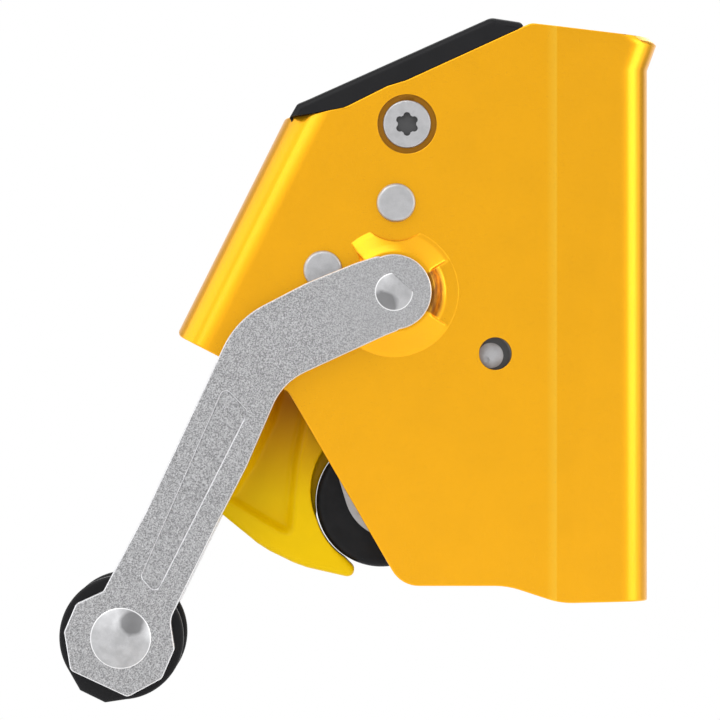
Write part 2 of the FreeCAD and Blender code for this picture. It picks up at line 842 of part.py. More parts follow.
def make_stop_pin():
    """Pin between the cheeks' lugs, which the closing spring pushes."""
    return disc(*lug_place(), stop_pin_radius, -cheek_outer, cheek_outer)


def make_wheel_axle():
    """Axle of the wheel, its domed near end seen in the round window."""
    dome = side_gap / 2
    end = domed_end(wheel_x, wheel_z, wheel_axle_radius, dome, -cheek_outer, -1)
    axle = fused(disc(wheel_x, wheel_z, wheel_axle_radius, -cheek_outer, cheek_outer), end)
    dimple_x = wheel_x - axle_dimple_offset
    dimple_z = wheel_z - axle_dimple_offset
    floor = axle_dimple_radius - cheek_outer
    return axle.cut(disc(dimple_x, dimple_z, axle_dimple_radius, -half_depth, floor))


def make_wheel_washer():
    """Thin washer between the wheel's hub and the near cheek."""
    end = -wheel_width / 2 - 2 * running_fit
    return tube(wheel_x, wheel_z, hub_radius, wheel_axle_radius + push_fit, -cheek_inner, end)


def make_roller_axle():
    """Riveted axle of the buffer roller."""
    return disc(roller_x, roller_z, roller_axle_radius, -cheek_outer, cheek_outer)


def make_catch_pin():
    """Pivot pin of the safety catch."""
    return disc(catch_x, catch_z, catch_pin_radius, -cheek_outer, cheek_outer)


# Wheel and clutch
def toothed_wire(x, z, tip_radius, root_radius, count, level):
    """Closed wire of pointed teeth round an axis."""
    points = []
    for number in range(count):
        for share, radius in ((0, tip_radius), (0.5, root_radius)):
            angle = 2 * math.pi * (number + share) / count
            points.append(Vector(x + radius * math.cos(angle), level, z + radius * math.sin(angle)))
    points.append(points[0])
    return Part.makePolygon(points)


def make_locking_wheel():
    """Toothed steel wheel with a hub, open on the far side for the clutch."""
    half = wheel_width / 2
    rim = toothed_wire(wheel_x, wheel_z, wheel_radius, wheel_radius - tooth_depth, tooth_count, -half)
    body = Part.Face(rim).extrude(Vector(0, wheel_width, 0))
    floor = web_thickness - half
    body = body.cut(disc(wheel_x, wheel_z, wheel_radius - rim_thickness, floor, half))
    body = body.fuse(disc(wheel_x, wheel_z, hub_radius, floor, hub_end))
    for x, z in pawl_pin_places():
        body = body.cut(disc(x, z, pawl_pin_radius + push_fit, -half, floor))
    return body.cut(disc(wheel_x, wheel_z, bearing_radius + push_fit, -half, half))


def make_wheel_bearing():
    """Bronze bush pressed into the wheel's hub."""
    inner = wheel_axle_radius + running_fit
    return tube(wheel_x, wheel_z, bearing_radius, inner, -wheel_width / 2, hub_end)


def pawl_pin_places():
    """Centres of the two pawl pins, opposite each other."""
    return [(wheel_x + side * pawl_pin_circle, wheel_z) for side in (1, -1)]


def pawl_depths():
    """Near and far face of the pawls, just clear of the wheel's floor."""
    start = web_thickness - wheel_width / 2 + 2 * running_fit
    return start, start + pawl_thickness


def make_pawl_pins():
    """Two pins pressed into the wheel, one for each pawl."""
    end = pawl_depths()[1]
    pins = [disc(x, z, pawl_pin_radius, -wheel_width / 2, end) for x, z in pawl_pin_places()]
    return Part.makeCompound(pins)


def make_pawl(half_turns):
    """Curved weight with a nose, swinging out on its pin; the second one is half a turn further round."""
    start, end = pawl_depths()
    middle = (start + end) / 2
    x, z = pawl_pin_places()[0]
    reach = 2 * pawl_nose
    back = tube(wheel_x, wheel_z, pawl_back, pawl_inner, start, end)
    back = back.common(sector(wheel_x, wheel_z, reach, pawl_heel_angle, pawl_end_angle, start, end))
    nose = tube(wheel_x, wheel_z, pawl_nose, pawl_inner, start, end)
    nose = nose.common(sector(wheel_x, wheel_z, reach, pawl_nose_angle, pawl_end_angle, start, end))
    body = fused(back, nose, disc(x, z, pawl_boss, start, end))
    room = garter_radius + running_fit
    groove = Part.makeTorus(pawl_back, room, Vector(wheel_x, middle, wheel_z), Vector(0, 1, 0))
    way_out = tube(wheel_x, wheel_z, reach, pawl_back, middle - room, middle + room)
    body = body.cut(disc(x, z, pawl_pin_radius + running_fit, start, end)).cut(groove).cut(way_out)
    body = max(body.Solids, key=lambda solid: solid.Volume)
    return turned(body, wheel_x, wheel_z, 180 * half_turns)


def make_garter_spring():
    """Ring spring in the pawls' grooves that holds them in."""
    middle = sum(pawl_depths()) / 2
    return Part.makeTorus(pawl_back, garter_radius, Vector(wheel_x, middle, wheel_z), Vector(0, 1, 0))


def clutch_rivet_places():
    """Centres of the three rivets that hold the clutch ring to the far cheek."""
    places = []
    for number in range(clutch_rivet_count):
        angle = math.radians(clutch_rivet_start + clutch_rivet_step * number)
        x = wheel_x + clutch_rivet_circle * math.cos(angle)
        z = wheel_z + clutch_rivet_circle * math.sin(angle)
        places.append((x, z))
    return places


def make_clutch_ring():
    """Fixed ring with inner teeth that the pawls catch, on a disc against the far cheek."""
    start = pawl_depths()[0]
    disc_start = cheek_inner - clutch_disc
    ring = disc(wheel_x, wheel_z, clutch_radius, start, disc_start)
    hollow = toothed_wire(wheel_x, wheel_z, clutch_tip, clutch_root, clutch_tooth_count, start)
    ring = ring.cut(Part.Face(hollow).extrude(Vector(0, disc_start - start, 0)))
    back = disc(wheel_x, wheel_z, clutch_radius, disc_start, cheek_inner)
    body = fused(ring, back).cut(disc(wheel_x, wheel_z, wheel_axle_radius + push_fit, start, cheek_inner))
    for x, z in clutch_rivet_places():
        body = body.cut(disc(x, z, clutch_rivet_radius + push_fit, start, cheek_inner))
    return body


def make_clutch_rivets():
    """Three rivets through the clutch ring and the far cheek."""
    start = pawl_depths()[0]
    rivets = [disc(x, z, clutch_rivet_radius, start, cheek_outer) for x, z in clutch_rivet_places()]
    return Part.makeCompound(rivets)


# Buffer roller
def make_buffer_roller():
    """Black roller with rounded shoulders on its hub."""
    half = roller_width / 2
    body = disc(roller_x, roller_z, roller_radius, -half, half)
    body = body.makeFillet(roller_edge, rim_edges(body, -half) + rim_edges(body, half))
    return body.cut(disc(roller_x, roller_z, roller_hub + push_fit, -half, half))


def make_roller_hub():
    """Bronze hub of the roller, running on its axle."""
    half = roller_width / 2
    return tube(roller_x, roller_z, roller_hub, roller_axle_radius + running_fit, -half, half)


# Safety catch
def catch_corners(corner_shares):
    """Corners given as shares of the catch's reach to the left and its length down from its pin."""
    return [
        (catch_x + x_share * catch_reach, catch_z + z_share * catch_length, radius)
        for x_share, z_share, radius in corner_shares
    ]


def make_safety_catch():
    """Yellow hook round the roller's left side, with a pocket for the thumb on each face."""
    half = catch_width / 2
    small = catch_rim
    outline = catch_corners(
        [
            (-0.560, 0.300, small),
            (-0.655, -0.059, soft_round),
            (-0.795, -0.303, wide_round),
            (-0.985, -0.580, small),
            (-0.614, -0.800, wide_round),
            (-0.313, -0.905, wide_round),
            (0.040, -0.970, small),
            (0.140, -0.915, small),
            (0.020, -0.600, 0),
            (-0.160, -0.300, 0),
            (0.120, -0.060, small),
            (0.060, 0.110, small),
        ]
    )
    body = fused(plate(outline, -half, half), disc(catch_x, catch_z, catch_boss, -half, half))
    body = body.cut(disc(roller_x, roller_z, roller_radius + catch_gap, -half, half))
    pocket = catch_corners(
        [
            (-0.480, 0.200, small),
            (-0.580, -0.060, soft_round),
            (-0.740, -0.310, wide_round),
            (-0.920, -0.525, small),
            (-0.368, -0.742, small),
            (-0.330, -0.430, wide_round),
            (-0.200, 0.060, small),
        ]
    )
    near_pocket = plate(pocket, -half, catch_rim - half)
    body = body.cut(near_pocket).cut(mirrored(near_pocket))
    slot_half = catch_slot / 2
    room = catch_spring_radius + 3 * catch_wire_radius
    body = body.cut(disc(catch_x, catch_z, room, -slot_half, slot_half))
    leg = Part.makeBox(
        4 * catch_wire_radius,
        catch_slot,
        catch_boss * 2,
        Vector(catch_x - catch_spring_radius - 2 * catch_wire_radius, -slot_half, catch_z - catch_boss * 2),
    )
    way_out = Part.makeBox(room * 2, catch_slot, catch_boss * 2, Vector(catch_x - room, -slot_half, catch_z))
    body = body.cut(leg).cut(way_out)
    body = body.cut(disc(catch_x, catch_z, catch_pin_radius + running_fit, -half, half))
    return max(body.Solids, key=lambda solid: solid.Volume)


def make_catch_spring():
    """Torsion spring in the catch's slot, its long leg against the main axle."""
    side_x = pivot_x - catch_x
    side_z = pivot_z - catch_z
    distance = math.hypot(side_x, side_z)
    heading = math.degrees(math.atan2(side_z, side_x))
    touch = catch_spring_radius - axle_radius - catch_wire_radius - running_fit
    last_angle = heading + math.degrees(math.acos(touch / distance)) - 360 * catch_spring_turns
    last_leg = math.sqrt(distance ** 2 - touch ** 2)
    half_length = catch_slot / 2 - 2 * catch_wire_radius
    first_leg = catch_spring_leg
    path = spiral_wire(
        catch_x, catch_z, catch_spring_radius, 180, last_angle, -half_length, half_length, first_leg, last_leg
    )
    return wire_spring(path, catch_wire_radius, "catch_spring")


def main():
    """Makes every piece and writes it to its own file."""
    os.makedirs("parts", exist_ok=True)
    frame = make_frame()
    near_arm = make_near_arm()
    save("frame", frame)
    save("top_cover", make_cover(frame))
    save("cover_screw", make_cover_screw())
    save("cover_nut", make_cover_nut())
    save("upper_pin", make_cross_pin(upper_pin_share))
    save("upper_sleeve", make_pin_sleeve(upper_pin_share))
    save("lower_pin", make_cross_pin(lower_pin_share))
    save("lower_sleeve", make_pin_sleeve(lower_pin_share))
    save("return_spring", make_return_spring())
    save("pivot_bushes", make_pivot_bushes())
    save("pivot_axle", make_pivot_axle())
    save("near_arm", near_arm)
    save("far_arm", mirrored(near_arm))
    save("end_axle", make_end_axle())
    save("end_screw", make_end_screw())
    save("end_sleeve", make_end_sleeve())
    save("end_bush", make_end_bush())
    save("near_cheek", make_near_cheek())
    save("far_cheek", make_far_cheek())
    save("stop_pin", make_stop_pin())
    save("wheel_axle", make_wheel_axle())
    save("wheel_washer", make_wheel_washer())
    save("locking_wheel", make_locking_wheel())
    save("wheel_bearing", make_wheel_bearing())
    save("pawl_pins", make_pawl_pins())
    save("front_pawl", make_pawl(0))
    save("rear_pawl", make_pawl(1))
    save("garter_spring", make_garter_spring())
    save("clutch_ring", make_clutch_ring())
    save("clutch_rivets", make_clutch_rivets())
    save("roller_axle", make_roller_axle())
    save("buffer_roller", make_buffer_roller())
    save("roller_hub", make_roller_hub())
    save("catch_pin", make_catch_pin())
    save("safety_catch", make_safety_catch())
    save("catch_spring", make_catch_spring())


main()
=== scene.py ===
"""Dressed model of a mobile fall arrester, built round its solid frame of nodes.

Each operator makes one piece or one group of like pieces in place, gives it its finish and lets
it ride on its body. Lengths are in metres, X points right, Y away from the side with the round
window, Z up along the rope.
"""
import math

import bmesh
import bpy
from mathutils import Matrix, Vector


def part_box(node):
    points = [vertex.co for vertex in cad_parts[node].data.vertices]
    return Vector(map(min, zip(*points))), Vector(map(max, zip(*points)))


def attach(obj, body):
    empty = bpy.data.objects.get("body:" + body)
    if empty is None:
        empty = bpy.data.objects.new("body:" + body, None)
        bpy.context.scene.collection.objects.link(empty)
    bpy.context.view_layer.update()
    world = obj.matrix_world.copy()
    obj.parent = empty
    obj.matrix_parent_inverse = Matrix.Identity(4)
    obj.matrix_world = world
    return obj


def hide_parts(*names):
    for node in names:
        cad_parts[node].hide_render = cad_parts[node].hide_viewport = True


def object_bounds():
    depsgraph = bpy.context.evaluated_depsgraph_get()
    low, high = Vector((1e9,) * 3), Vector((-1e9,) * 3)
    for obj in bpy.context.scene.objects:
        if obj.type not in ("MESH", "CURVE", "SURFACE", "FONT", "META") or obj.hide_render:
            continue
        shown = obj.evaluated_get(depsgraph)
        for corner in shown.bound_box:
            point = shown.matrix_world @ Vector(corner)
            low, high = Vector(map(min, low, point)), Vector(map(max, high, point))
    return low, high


bl_info = {
    "name": "Mobile fall arrester",
    "version": (1, 0, 0),
    "blender": (4, 5, 0),
    "location": "3D View > Sidebar > Arrester",
    "description": "Builds the frame, arms, catch, cover and small parts of a mobile fall arrester",
    "category": "Add Mesh",
}

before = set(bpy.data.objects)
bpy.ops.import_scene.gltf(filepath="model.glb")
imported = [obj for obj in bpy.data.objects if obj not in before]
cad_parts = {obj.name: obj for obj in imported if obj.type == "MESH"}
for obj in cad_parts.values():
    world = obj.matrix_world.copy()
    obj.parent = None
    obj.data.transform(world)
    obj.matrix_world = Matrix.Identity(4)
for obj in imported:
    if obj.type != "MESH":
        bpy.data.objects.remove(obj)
cad_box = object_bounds()

MM = 0.001
MERGE = 0.002 * MM
TINY_EDGE = 0.05 * MM
ON_PLANE = 0.02 * MM
UPRIGHT = 0.02
FLAT_ANGLE = math.radians(0.6)
CREASE_ANGLES = (math.radians(5), math.radians(14))
SHARP_ANGLE = math.radians(28)
RIM_ANGLE = math.radians(30)
SQUARE_ANGLE = math.radians(60)
SMOOTH_ANGLE = math.radians(32)
FRAME_SMOOTH_ANGLE = math.radians(40)
ARM_GAP = 2.5 * MM
PLATE_SKIN = 0.01 * MM
CREASE_X = -8.4 * MM


# Places read from the nodes
def centre(node):
    """Middle of a node's box."""
    low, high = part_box(node)
    return (low + high) / 2


pivot = centre("pivot_axle")
wheel_centre = centre("wheel_axle")
roller_centre = centre("roller_axle")
catch_pivot = centre("catch_pin")
arm_end = centre("end_axle")
upper_pin_place = centre("upper_pin")
lower_pin_place = centre("lower_pin")
screw_place = centre("cover_screw")
near_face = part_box("near_arm")[1].y + ARM_GAP
half_depth = -near_face - PLATE_SKIN

# Frame in millimetres: how far the edges of its holes reach from their axes, and the lip's corner
PIVOT_REACH = 6.0
WINDOW_REACH = 4.6
PIN_REACH = 3.4
SEAT_REACH = (5.0, 6.4)
LIP_CORNER = (0.5, 59.0)

# Boss in millimetres: rings (radius, height over the plate), notches in degrees, and its cutters
BOSS_RINGS = (
    (12.5, -0.9), (12.45, -0.02), (12.3, 0.05), (11.5, 0.30), (10.4, 0.98), (9.0, 1.85),
    (8.0, 2.38), (7.6, 2.48),
)
CORE_RINGS = ((9.9, -0.9), (9.9, 0.12), (9.1, 0.8), (8.3, 1.9), (7.7, 2.48))
BOSS_NOTCHES = ((-32.0, 31.0), (133.0, 212.0))
NOTCH_FLOOR = 0.05
NOTCH_REACH = 15.0
PIN_SPOT_RADIUS = 7.2
BOSS_BORE_RADIUS = 5.3
CUTTER_LEVELS = (-1.5, 4.0)
BOSS_VOXEL = 0.16 * MM

# Arms: distance from each axle in millimetres past which the rim is rounded, and the slopes of the
# rim faces that take the painted highlight
PIVOT_HOLE_REACH = 4.0
END_HOLE_REACH = 5.0
RIM_SLOPES = (0.15, 0.95)

# Catch in millimetres from its pin: outline corners (x, z, radius), and the pocket's corners
CATCH_OUTLINE = (
    (-13.4, 9.9, 1.5), (-15.7, -1.95, 5.9), (-19.1, -10.0, 12.0), (-23.6, -19.1, 1.5),
    (-14.7, -26.4, 12.0), (-7.5, -29.9, 12.0), (5.6, -32.9, 1.3), (-0.7, -26.6, 0),
    (0.5, -19.8, 0), (-3.8, -9.9, 0), (2.9, -2.0, 1.5), (1.4, 3.6, 1.5),
)
POCKET_OUTLINE = (
    (-11.5, 6.6), (-13.9, -2.0), (-17.8, -10.2), (-22.3, -17.2), (-11.7, -23.6), (-9.6, -24.1),
    (-8.4, -22.5), (-8.0, -17.0), (-7.2, -9.5), (-4.8, 2.0),
)

# Pocket's wall, step by step: how far it goes inwards and down, and the lean for each inward step
POCKET_STEPS = ((0.45, 0.30), (0.45, 0.60), (0.40, 0.70), (0.45, 0.50), (0.50, 0.25))
POCKET_LEAN = 0.16

# Rooms in the catch in millimetres: round the roller, its shelf, the pin and the spring
OVER = 1 * MM
ROOM_SEGMENTS = 160
CATCH_BOSS_RADIUS = 4.0
ROLLER_ROOM_RADIUS = 12.75
UPPER_ROOM_RADIUS = 13.42
UPPER_ROOM_OFFSET = Vector((-0.06 * MM, 0, 2.07 * MM))
SHELF_HALF = 1.4 * MM
SHELF_RADII = (14.2, 12.56)
SHELF_ANGLES = (128, 190)
SHELF_STEPS = 12
CATCH_BORE_RADIUS = 1.6
SPRING_ROOM_RADIUS = 3.95
SPRING_ROOM_HALF = 2 * MM
CATCH_VOXEL = 0.2 * MM


# Sizes and colours that a user may change
class ArresterSizes(bpy.types.PropertyGroup):
    """Edge rounds and reliefs of the dressed pieces."""

    frame_round: bpy.props.FloatProperty(
        name="Frame edge", description="Width of the round on the frame's outer edges",
        default=0.3 * MM, min=0.05 * MM, max=0.4 * MM, subtype="DISTANCE", unit="LENGTH",
    )
    hole_round: bpy.props.FloatProperty(
        name="Hole edge", description="Width of the break on the edges of holes",
        default=0.18 * MM, min=0.05 * MM, max=0.5 * MM, subtype="DISTANCE", unit="LENGTH",
    )
    boss_rounds: bpy.props.IntProperty(
        name="Boss softness", description="How often the boss's edges are softened",
        default=7, min=0, max=30,
    )
    catch_round: bpy.props.FloatProperty(
        name="Catch edge", description="Width of the round on the catch's outer edges",
        default=1.0 * MM, min=0.1 * MM, max=1.5 * MM, subtype="DISTANCE", unit="LENGTH",
    )
    catch_rounds: bpy.props.IntProperty(
        name="Catch softness", description="How often the catch's edges are softened",
        default=14, min=0, max=30,
    )
    arm_round: bpy.props.FloatProperty(
        name="Arm edge", description="Width of the round on the arms' edges",
        default=0.38 * MM, min=0.05 * MM, max=0.8 * MM, subtype="DISTANCE", unit="LENGTH",
    )
    plastic_round: bpy.props.FloatProperty(
        name="Moulded edge", description="Width of the round on moulded edges",
        default=0.5 * MM, min=0.05 * MM, max=0.8 * MM, subtype="DISTANCE", unit="LENGTH",
    )


class ArresterColours(bpy.types.PropertyGroup):
    """Colours of the finishes."""

    anodised: bpy.props.FloatVectorProperty(
        name="Anodised", description="Colour of the anodised frame",
        default=(0.98, 0.46, 0.002), min=0, max=1, subtype="COLOR",
    )
    plastic: bpy.props.FloatVectorProperty(
        name="Black plastic", description="Colour of the cover and the bush",
        default=(0.006, 0.006, 0.007), min=0, max=1, subtype="COLOR",
    )
    catch: bpy.props.FloatVectorProperty(
        name="Catch", description="Colour of the safety catch",
        default=(0.80, 0.515, 0.0), min=0, max=1, subtype="COLOR",
    )
    steel: bpy.props.FloatVectorProperty(
        name="Steel", description="Colour of the plain steel",
        default=(0.46, 0.46, 0.47), min=0, max=1, subtype="COLOR",
    )
    bronze: bpy.props.FloatVectorProperty(
        name="Bronze", description="Colour of the plain bearings",
        default=(0.60, 0.42, 0.19), min=0, max=1, subtype="COLOR",
    )


# Modelling helpers
def select_only(piece):
    """Makes one object the whole selection and the active object."""
    bpy.ops.object.select_all(action="DESELECT")
    piece.select_set(True)
    bpy.context.view_layer.objects.active = piece


def edit_all(piece):
    """Opens one piece in edit mode with all of it selected."""
    select_only(piece)
    bpy.ops.object.mode_set(mode="EDIT")
    bpy.ops.mesh.select_all(action="SELECT")


def node_copy(node, name, merge=MERGE):
    """Copy of a node's mesh, its loose triangles merged and its flat faces made whole."""
    piece = bpy.data.objects.new(name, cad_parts[node].data.copy())
    bpy.context.scene.collection.objects.link(piece)
    piece.data.materials.clear()
    select_only(piece)
    bpy.ops.object.mode_set(mode="EDIT")
    bpy.ops.mesh.select_all(action="SELECT")
    bpy.ops.mesh.remove_doubles(threshold=merge)
    bpy.ops.mesh.dissolve_limited(angle_limit=FLAT_ANGLE)
    bpy.ops.object.mode_set(mode="OBJECT")
    return piece


def select_edges(piece, wanted):
    """Selects, in edit mode, the edges that wanted(middle, normal, other normal, angle) picks."""
    select_only(piece)
    bpy.ops.object.mode_set(mode="EDIT")
    bpy.ops.mesh.select_mode(type="EDGE")
    bpy.ops.mesh.select_all(action="DESELECT")
    mesh = bmesh.from_edit_mesh(piece.data)
    found = 0
    for edge in mesh.edges:
        if len(edge.link_faces) != 2:
            continue
        middle = (edge.verts[0].co + edge.verts[1].co) / 2
        first, second = edge.link_faces
        if wanted(middle, first.normal, second.normal, edge.calc_face_angle(0)):
            edge.select = True
            found += 1
    bmesh.update_edit_mesh(piece.data)
    return found


def round_edges(piece, width, wanted, segments=3, profile=0.5):
    """Bevels the wanted edges."""
    if select_edges(piece, wanted):
        bpy.ops.mesh.bevel(
            offset=width, offset_type="OFFSET", segments=segments, profile=profile, affect="EDGES",
            clamp_overlap=False,
        )
        bpy.ops.mesh.select_all(action="SELECT")
        bpy.ops.mesh.remove_doubles(threshold=MERGE)
    bpy.ops.object.mode_set(mode="OBJECT")


def apply_modifier(piece, kind, **settings):
    """Adds one modifier with these settings and applies it."""
    select_only(piece)
    modifier = piece.modifiers.new(kind.title(), kind)
    for key, value in settings.items():
        setattr(modifier, key, value)
    bpy.ops.object.modifier_apply(modifier=modifier.name)


def start_piece(name, add, **settings):
    """Adds a primitive with nothing else selected and puts its place into its mesh."""
    bpy.ops.object.select_all(action="DESELECT")
    add(**settings)
    piece = bpy.context.active_object
    piece.name = name
    piece.data.name = name
    bpy.ops.object.transform_apply(location=True, rotation=True, scale=True)
    return piece


def face_out(piece):
    """Merges doubles and turns every face outwards."""
    edit_all(piece)
    bpy.ops.mesh.remove_doubles(threshold=MERGE)
    bpy.ops.mesh.normals_make_consistent(inside=False)
    bpy.ops.object.mode_set(mode="OBJECT")


def ring_stack(name, place, rings, segments=96):
    """Round solid across the frame, raised ring by ring from its first (radius, level)."""
    radius, level = rings[0]
    piece = start_piece(
        name, bpy.ops.mesh.primitive_circle_add, vertices=segments, radius=radius, fill_type="NGON",
        location=(place.x, level, place.z), rotation=(math.radians(90), 0, 0),
    )
    edit_all(piece)
    for next_radius, next_level in rings[1:]:
        rise = (0, next_level - level, 0)
        bpy.ops.mesh.extrude_region_move(TRANSFORM_OT_translate={"value": rise})
        share = next_radius / radius
        middle = (place.x, next_level, place.z)
        bpy.ops.transform.resize(value=(share, 1, share), center_override=middle)
        radius, level = next_radius, next_level
    bpy.ops.object.mode_set(mode="OBJECT")
    face_out(piece)
    return piece


def bar(name, place, radius, start, end, segments=96):
    """Round bar across the frame, its radius in millimetres."""
    return ring_stack(name, place, [(radius * MM, start), (radius * MM, end)], segments)


def rounded(corners, step_angle=math.radians(12)):
    """Outline points of corners (x, z, radius), each round corner as an arc."""
    points = []
    count = len(corners)
    for number, (x, z, radius) in enumerate(corners):
        here = Vector((x, z))
        before = (Vector(corners[number - 1][:2]) - here).normalized()
        after = (Vector(corners[(number + 1) % count][:2]) - here).normalized()
        half = before.angle(after) / 2
        steps = int((math.pi - 2 * half) / step_angle)
        if not radius or not steps:
            points.append(here)
            continue
        middle = here + (before + after).normalized() * (radius / math.sin(half))
        first = (here + before * (radius / math.tan(half)) - middle).normalized()
        last = (here + after * (radius / math.tan(half)) - middle).normalized()
        points += [middle + first.slerp(last, step / steps) * radius for step in range(steps + 1)]
    return points


def prism(name, place, corners, start, end):
    """Solid across the frame whose outline is drawn corner by corner round a place."""
    points = [(place.x + point.x, place.z + point.y) for point in rounded(corners)]
    first = (points[0][0], start, points[0][1])
    piece = start_piece(name, bpy.ops.mesh.primitive_plane_add, size=MM, location=first)
    bpy.ops.object.mode_set(mode="EDIT")
    bpy.ops.mesh.select_mode(type="VERT")
    bpy.ops.mesh.select_all(action="SELECT")
    bpy.ops.mesh.merge(type="CENTER")
    for here, after in zip(points, points[1:]):
        step = (after[0] - here[0], 0, after[1] - here[1])
        bpy.ops.mesh.extrude_region_move(TRANSFORM_OT_translate={"value": step})
    bpy.ops.mesh.select_all(action="SELECT")
    bpy.ops.mesh.edge_face_add()
    bpy.ops.mesh.extrude_region_move(TRANSFORM_OT_translate={"value": (0, end - start, 0)})
    bpy.ops.object.mode_set(mode="OBJECT")
    face_out(piece)
    return piece


def take(piece, cutter, operation="DIFFERENCE"):
    """Cuts with another piece, or adds it, and removes that piece."""
    apply_modifier(piece, "BOOLEAN", operation=operation, solver="EXACT", object=cutter)
    bpy.data.objects.remove(cutter)


def soften(piece, voxel, rounds, share):
    """Melts all edges of a solid a little, as in a forging or a moulding."""
    apply_modifier(piece, "REMESH", mode="VOXEL", voxel_size=voxel)
    apply_modifier(piece, "SMOOTH", factor=0.5, iterations=rounds)
    apply_modifier(piece, "DECIMATE", ratio=share)
    face_out(piece)
    select_only(piece)
    bpy.ops.object.shade_smooth()


def trim(piece, level, keep_below):
    """Cuts off what stands proud of a level, closes the cut and merges tiny edges."""
    edit_all(piece)
    bpy.ops.mesh.bisect(
        plane_co=(0, level, 0), plane_no=(0, 1, 0), use_fill=True, clear_inner=not keep_below,
        clear_outer=keep_below, threshold=MERGE,
    )
    bpy.ops.mesh.select_all(action="SELECT")
    bpy.ops.mesh.remove_doubles(threshold=TINY_EDGE)
    bpy.ops.object.mode_set(mode="OBJECT")


def smooth(piece, angle=SMOOTH_ANGLE):
    """Shades a piece smooth below an angle, with flat faces kept flat."""
    select_only(piece)
    bpy.ops.object.shade_smooth_by_angle(angle=angle)
    apply_modifier(piece, "WEIGHTED_NORMAL", keep_sharp=True, weight=60)


def ride(piece, body, slot, finish, *replaced):
    """Gives a piece its finish and its body and hides the nodes that it stands for; slot is not
    used.
    """
    piece.data.materials.clear()
    piece.data.materials.append(finish)
    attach(piece, body)
    if replaced:
        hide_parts(*replaced)


def flat_distance(point, place):
    """Distance from an axis across the frame."""
    return math.hypot(point.x - place.x, point.z - place.z)


# Finishes
class Finish:
    """One material whose nodes read object coordinates."""

    def __init__(self, name, colour, metallic, roughness):
        self.material = bpy.data.materials.new(name)
        self.material.use_nodes = True
        self.nodes = self.material.node_tree.nodes
        self.links = self.material.node_tree.links
        self.shader = self.nodes["Principled BSDF"]
        self.shader.inputs["Base Color"].default_value = (*colour, 1)
        self.shader.inputs["Metallic"].default_value = metallic
        self.shader.inputs["Roughness"].default_value = roughness
        self.coordinates = self.nodes.new("ShaderNodeTexCoord").outputs["Object"]
        self.colour = colour
        self.normal = None

    def noise(self, size, detail=2.0, roughness=0.5, stretch=None):
        """Noise whose blots are about this size."""
        node = self.nodes.new("ShaderNodeTexNoise")
        node.inputs["Scale"].default_value = 1 / size
        node.inputs["Detail"].default_value = detail
        node.inputs["Roughness"].default_value = roughness
        source = self.coordinates
        if stretch:
            mapping = self.nodes.new("ShaderNodeMapping")
            mapping.inputs["Scale"].default_value = stretch
            self.links.new(source, mapping.inputs["Vector"])
            source = mapping.outputs["Vector"]
        self.links.new(source, node.inputs["Vector"])
        return node.outputs["Fac"]

    def spread(self, source, low, high, to_low=0.0, to_high=1.0):
        """Source from low to high, stretched to another range."""
        node = self.nodes.new("ShaderNodeMapRange")
        node.inputs["From Min"].default_value = low
        node.inputs["From Max"].default_value = high
        node.inputs["To Min"].default_value = to_low
        node.inputs["To Max"].default_value = to_high
        self.links.new(source, node.inputs["Value"])
        return node.outputs["Result"]

    def along(self, axis):
        """Coordinate along one axis."""
        node = self.nodes.new("ShaderNodeSeparateXYZ")
        self.links.new(self.coordinates, node.inputs["Vector"])
        return node.outputs[axis]

    def away_from(self, place):
        """Distance from a point."""
        node = self.nodes.new("ShaderNodeVectorMath")
        node.operation = "DISTANCE"
        node.inputs[1].default_value = place
        self.links.new(self.coordinates, node.inputs[0])
        return node.outputs["Value"]

    def beside(self, place):
        """Distance from an axis across the frame."""
        flat = self.nodes.new("ShaderNodeVectorMath")
        flat.operation = "MULTIPLY"
        flat.inputs[1].default_value = (1, 0, 1)
        self.links.new(self.coordinates, flat.inputs[0])
        node = self.nodes.new("ShaderNodeVectorMath")
        node.operation = "DISTANCE"
        node.inputs[1].default_value = (place[0], 0, place[2])
        self.links.new(flat.outputs["Vector"], node.inputs[0])
        return node.outputs["Value"]

    def bearing_from(self, place):
        """Angle away from the right of an axis across the frame, in radians and never negative."""
        sideways = self.combine("SUBTRACT", self.along("X"), place.x)
        upright = self.combine("SUBTRACT", self.along("Z"), place.z)
        return self.combine("ABSOLUTE", self.combine("ARCTAN2", upright, sideways), 0.0)

    def ring(self, place, start, full, fade, end):
        """Share that rises and falls again between radii in millimetres round an axis."""
        return self.product(
            self.spread(self.beside(place), start * MM, full * MM),
            self.spread(self.beside(place), end * MM, fade * MM),
        )

    def combine(self, operation, first, second):
        """Result of a Math node on two sources, or on a source and a number."""
        node = self.nodes.new("ShaderNodeMath")
        node.operation = operation
        for place, source in enumerate((first, second)):
            if isinstance(source, (int, float)):
                node.inputs[place].default_value = source
            else:
                self.links.new(source, node.inputs[place])
        return node.outputs["Value"]

    def product(self, first, second):
        """Product of two sources, or of a source and a number."""
        return self.combine("MULTIPLY", first, second)

    def tint(self, share, other):
        """Mixes the base colour with another by a source."""
        node = self.nodes.new("ShaderNodeMix")
        node.data_type = "RGBA"
        base = self.shader.inputs["Base Color"]
        if base.links:
            self.links.new(base.links[0].from_socket, node.inputs["A"])
        else:
            node.inputs["A"].default_value = (*self.colour, 1)
        node.inputs["B"].default_value = (*other, 1)
        self.links.new(share, node.inputs["Factor"])
        self.links.new(node.outputs["Result"], base)

    def roughness(self, source):
        """Roughness from a source."""
        self.links.new(source, self.shader.inputs["Roughness"])

    def relief(self, source, strength, depth):
        """Bump from a source, on top of any bump so far."""
        node = self.nodes.new("ShaderNodeBump")
        node.inputs["Strength"].default_value = strength
        node.inputs["Distance"].default_value = depth
        self.links.new(source, node.inputs["Height"])
        if self.normal:
            self.links.new(self.normal, node.inputs["Normal"])
        self.normal = node.outputs["Normal"]
        self.links.new(self.normal, self.shader.inputs["Normal"])


finishes = {}
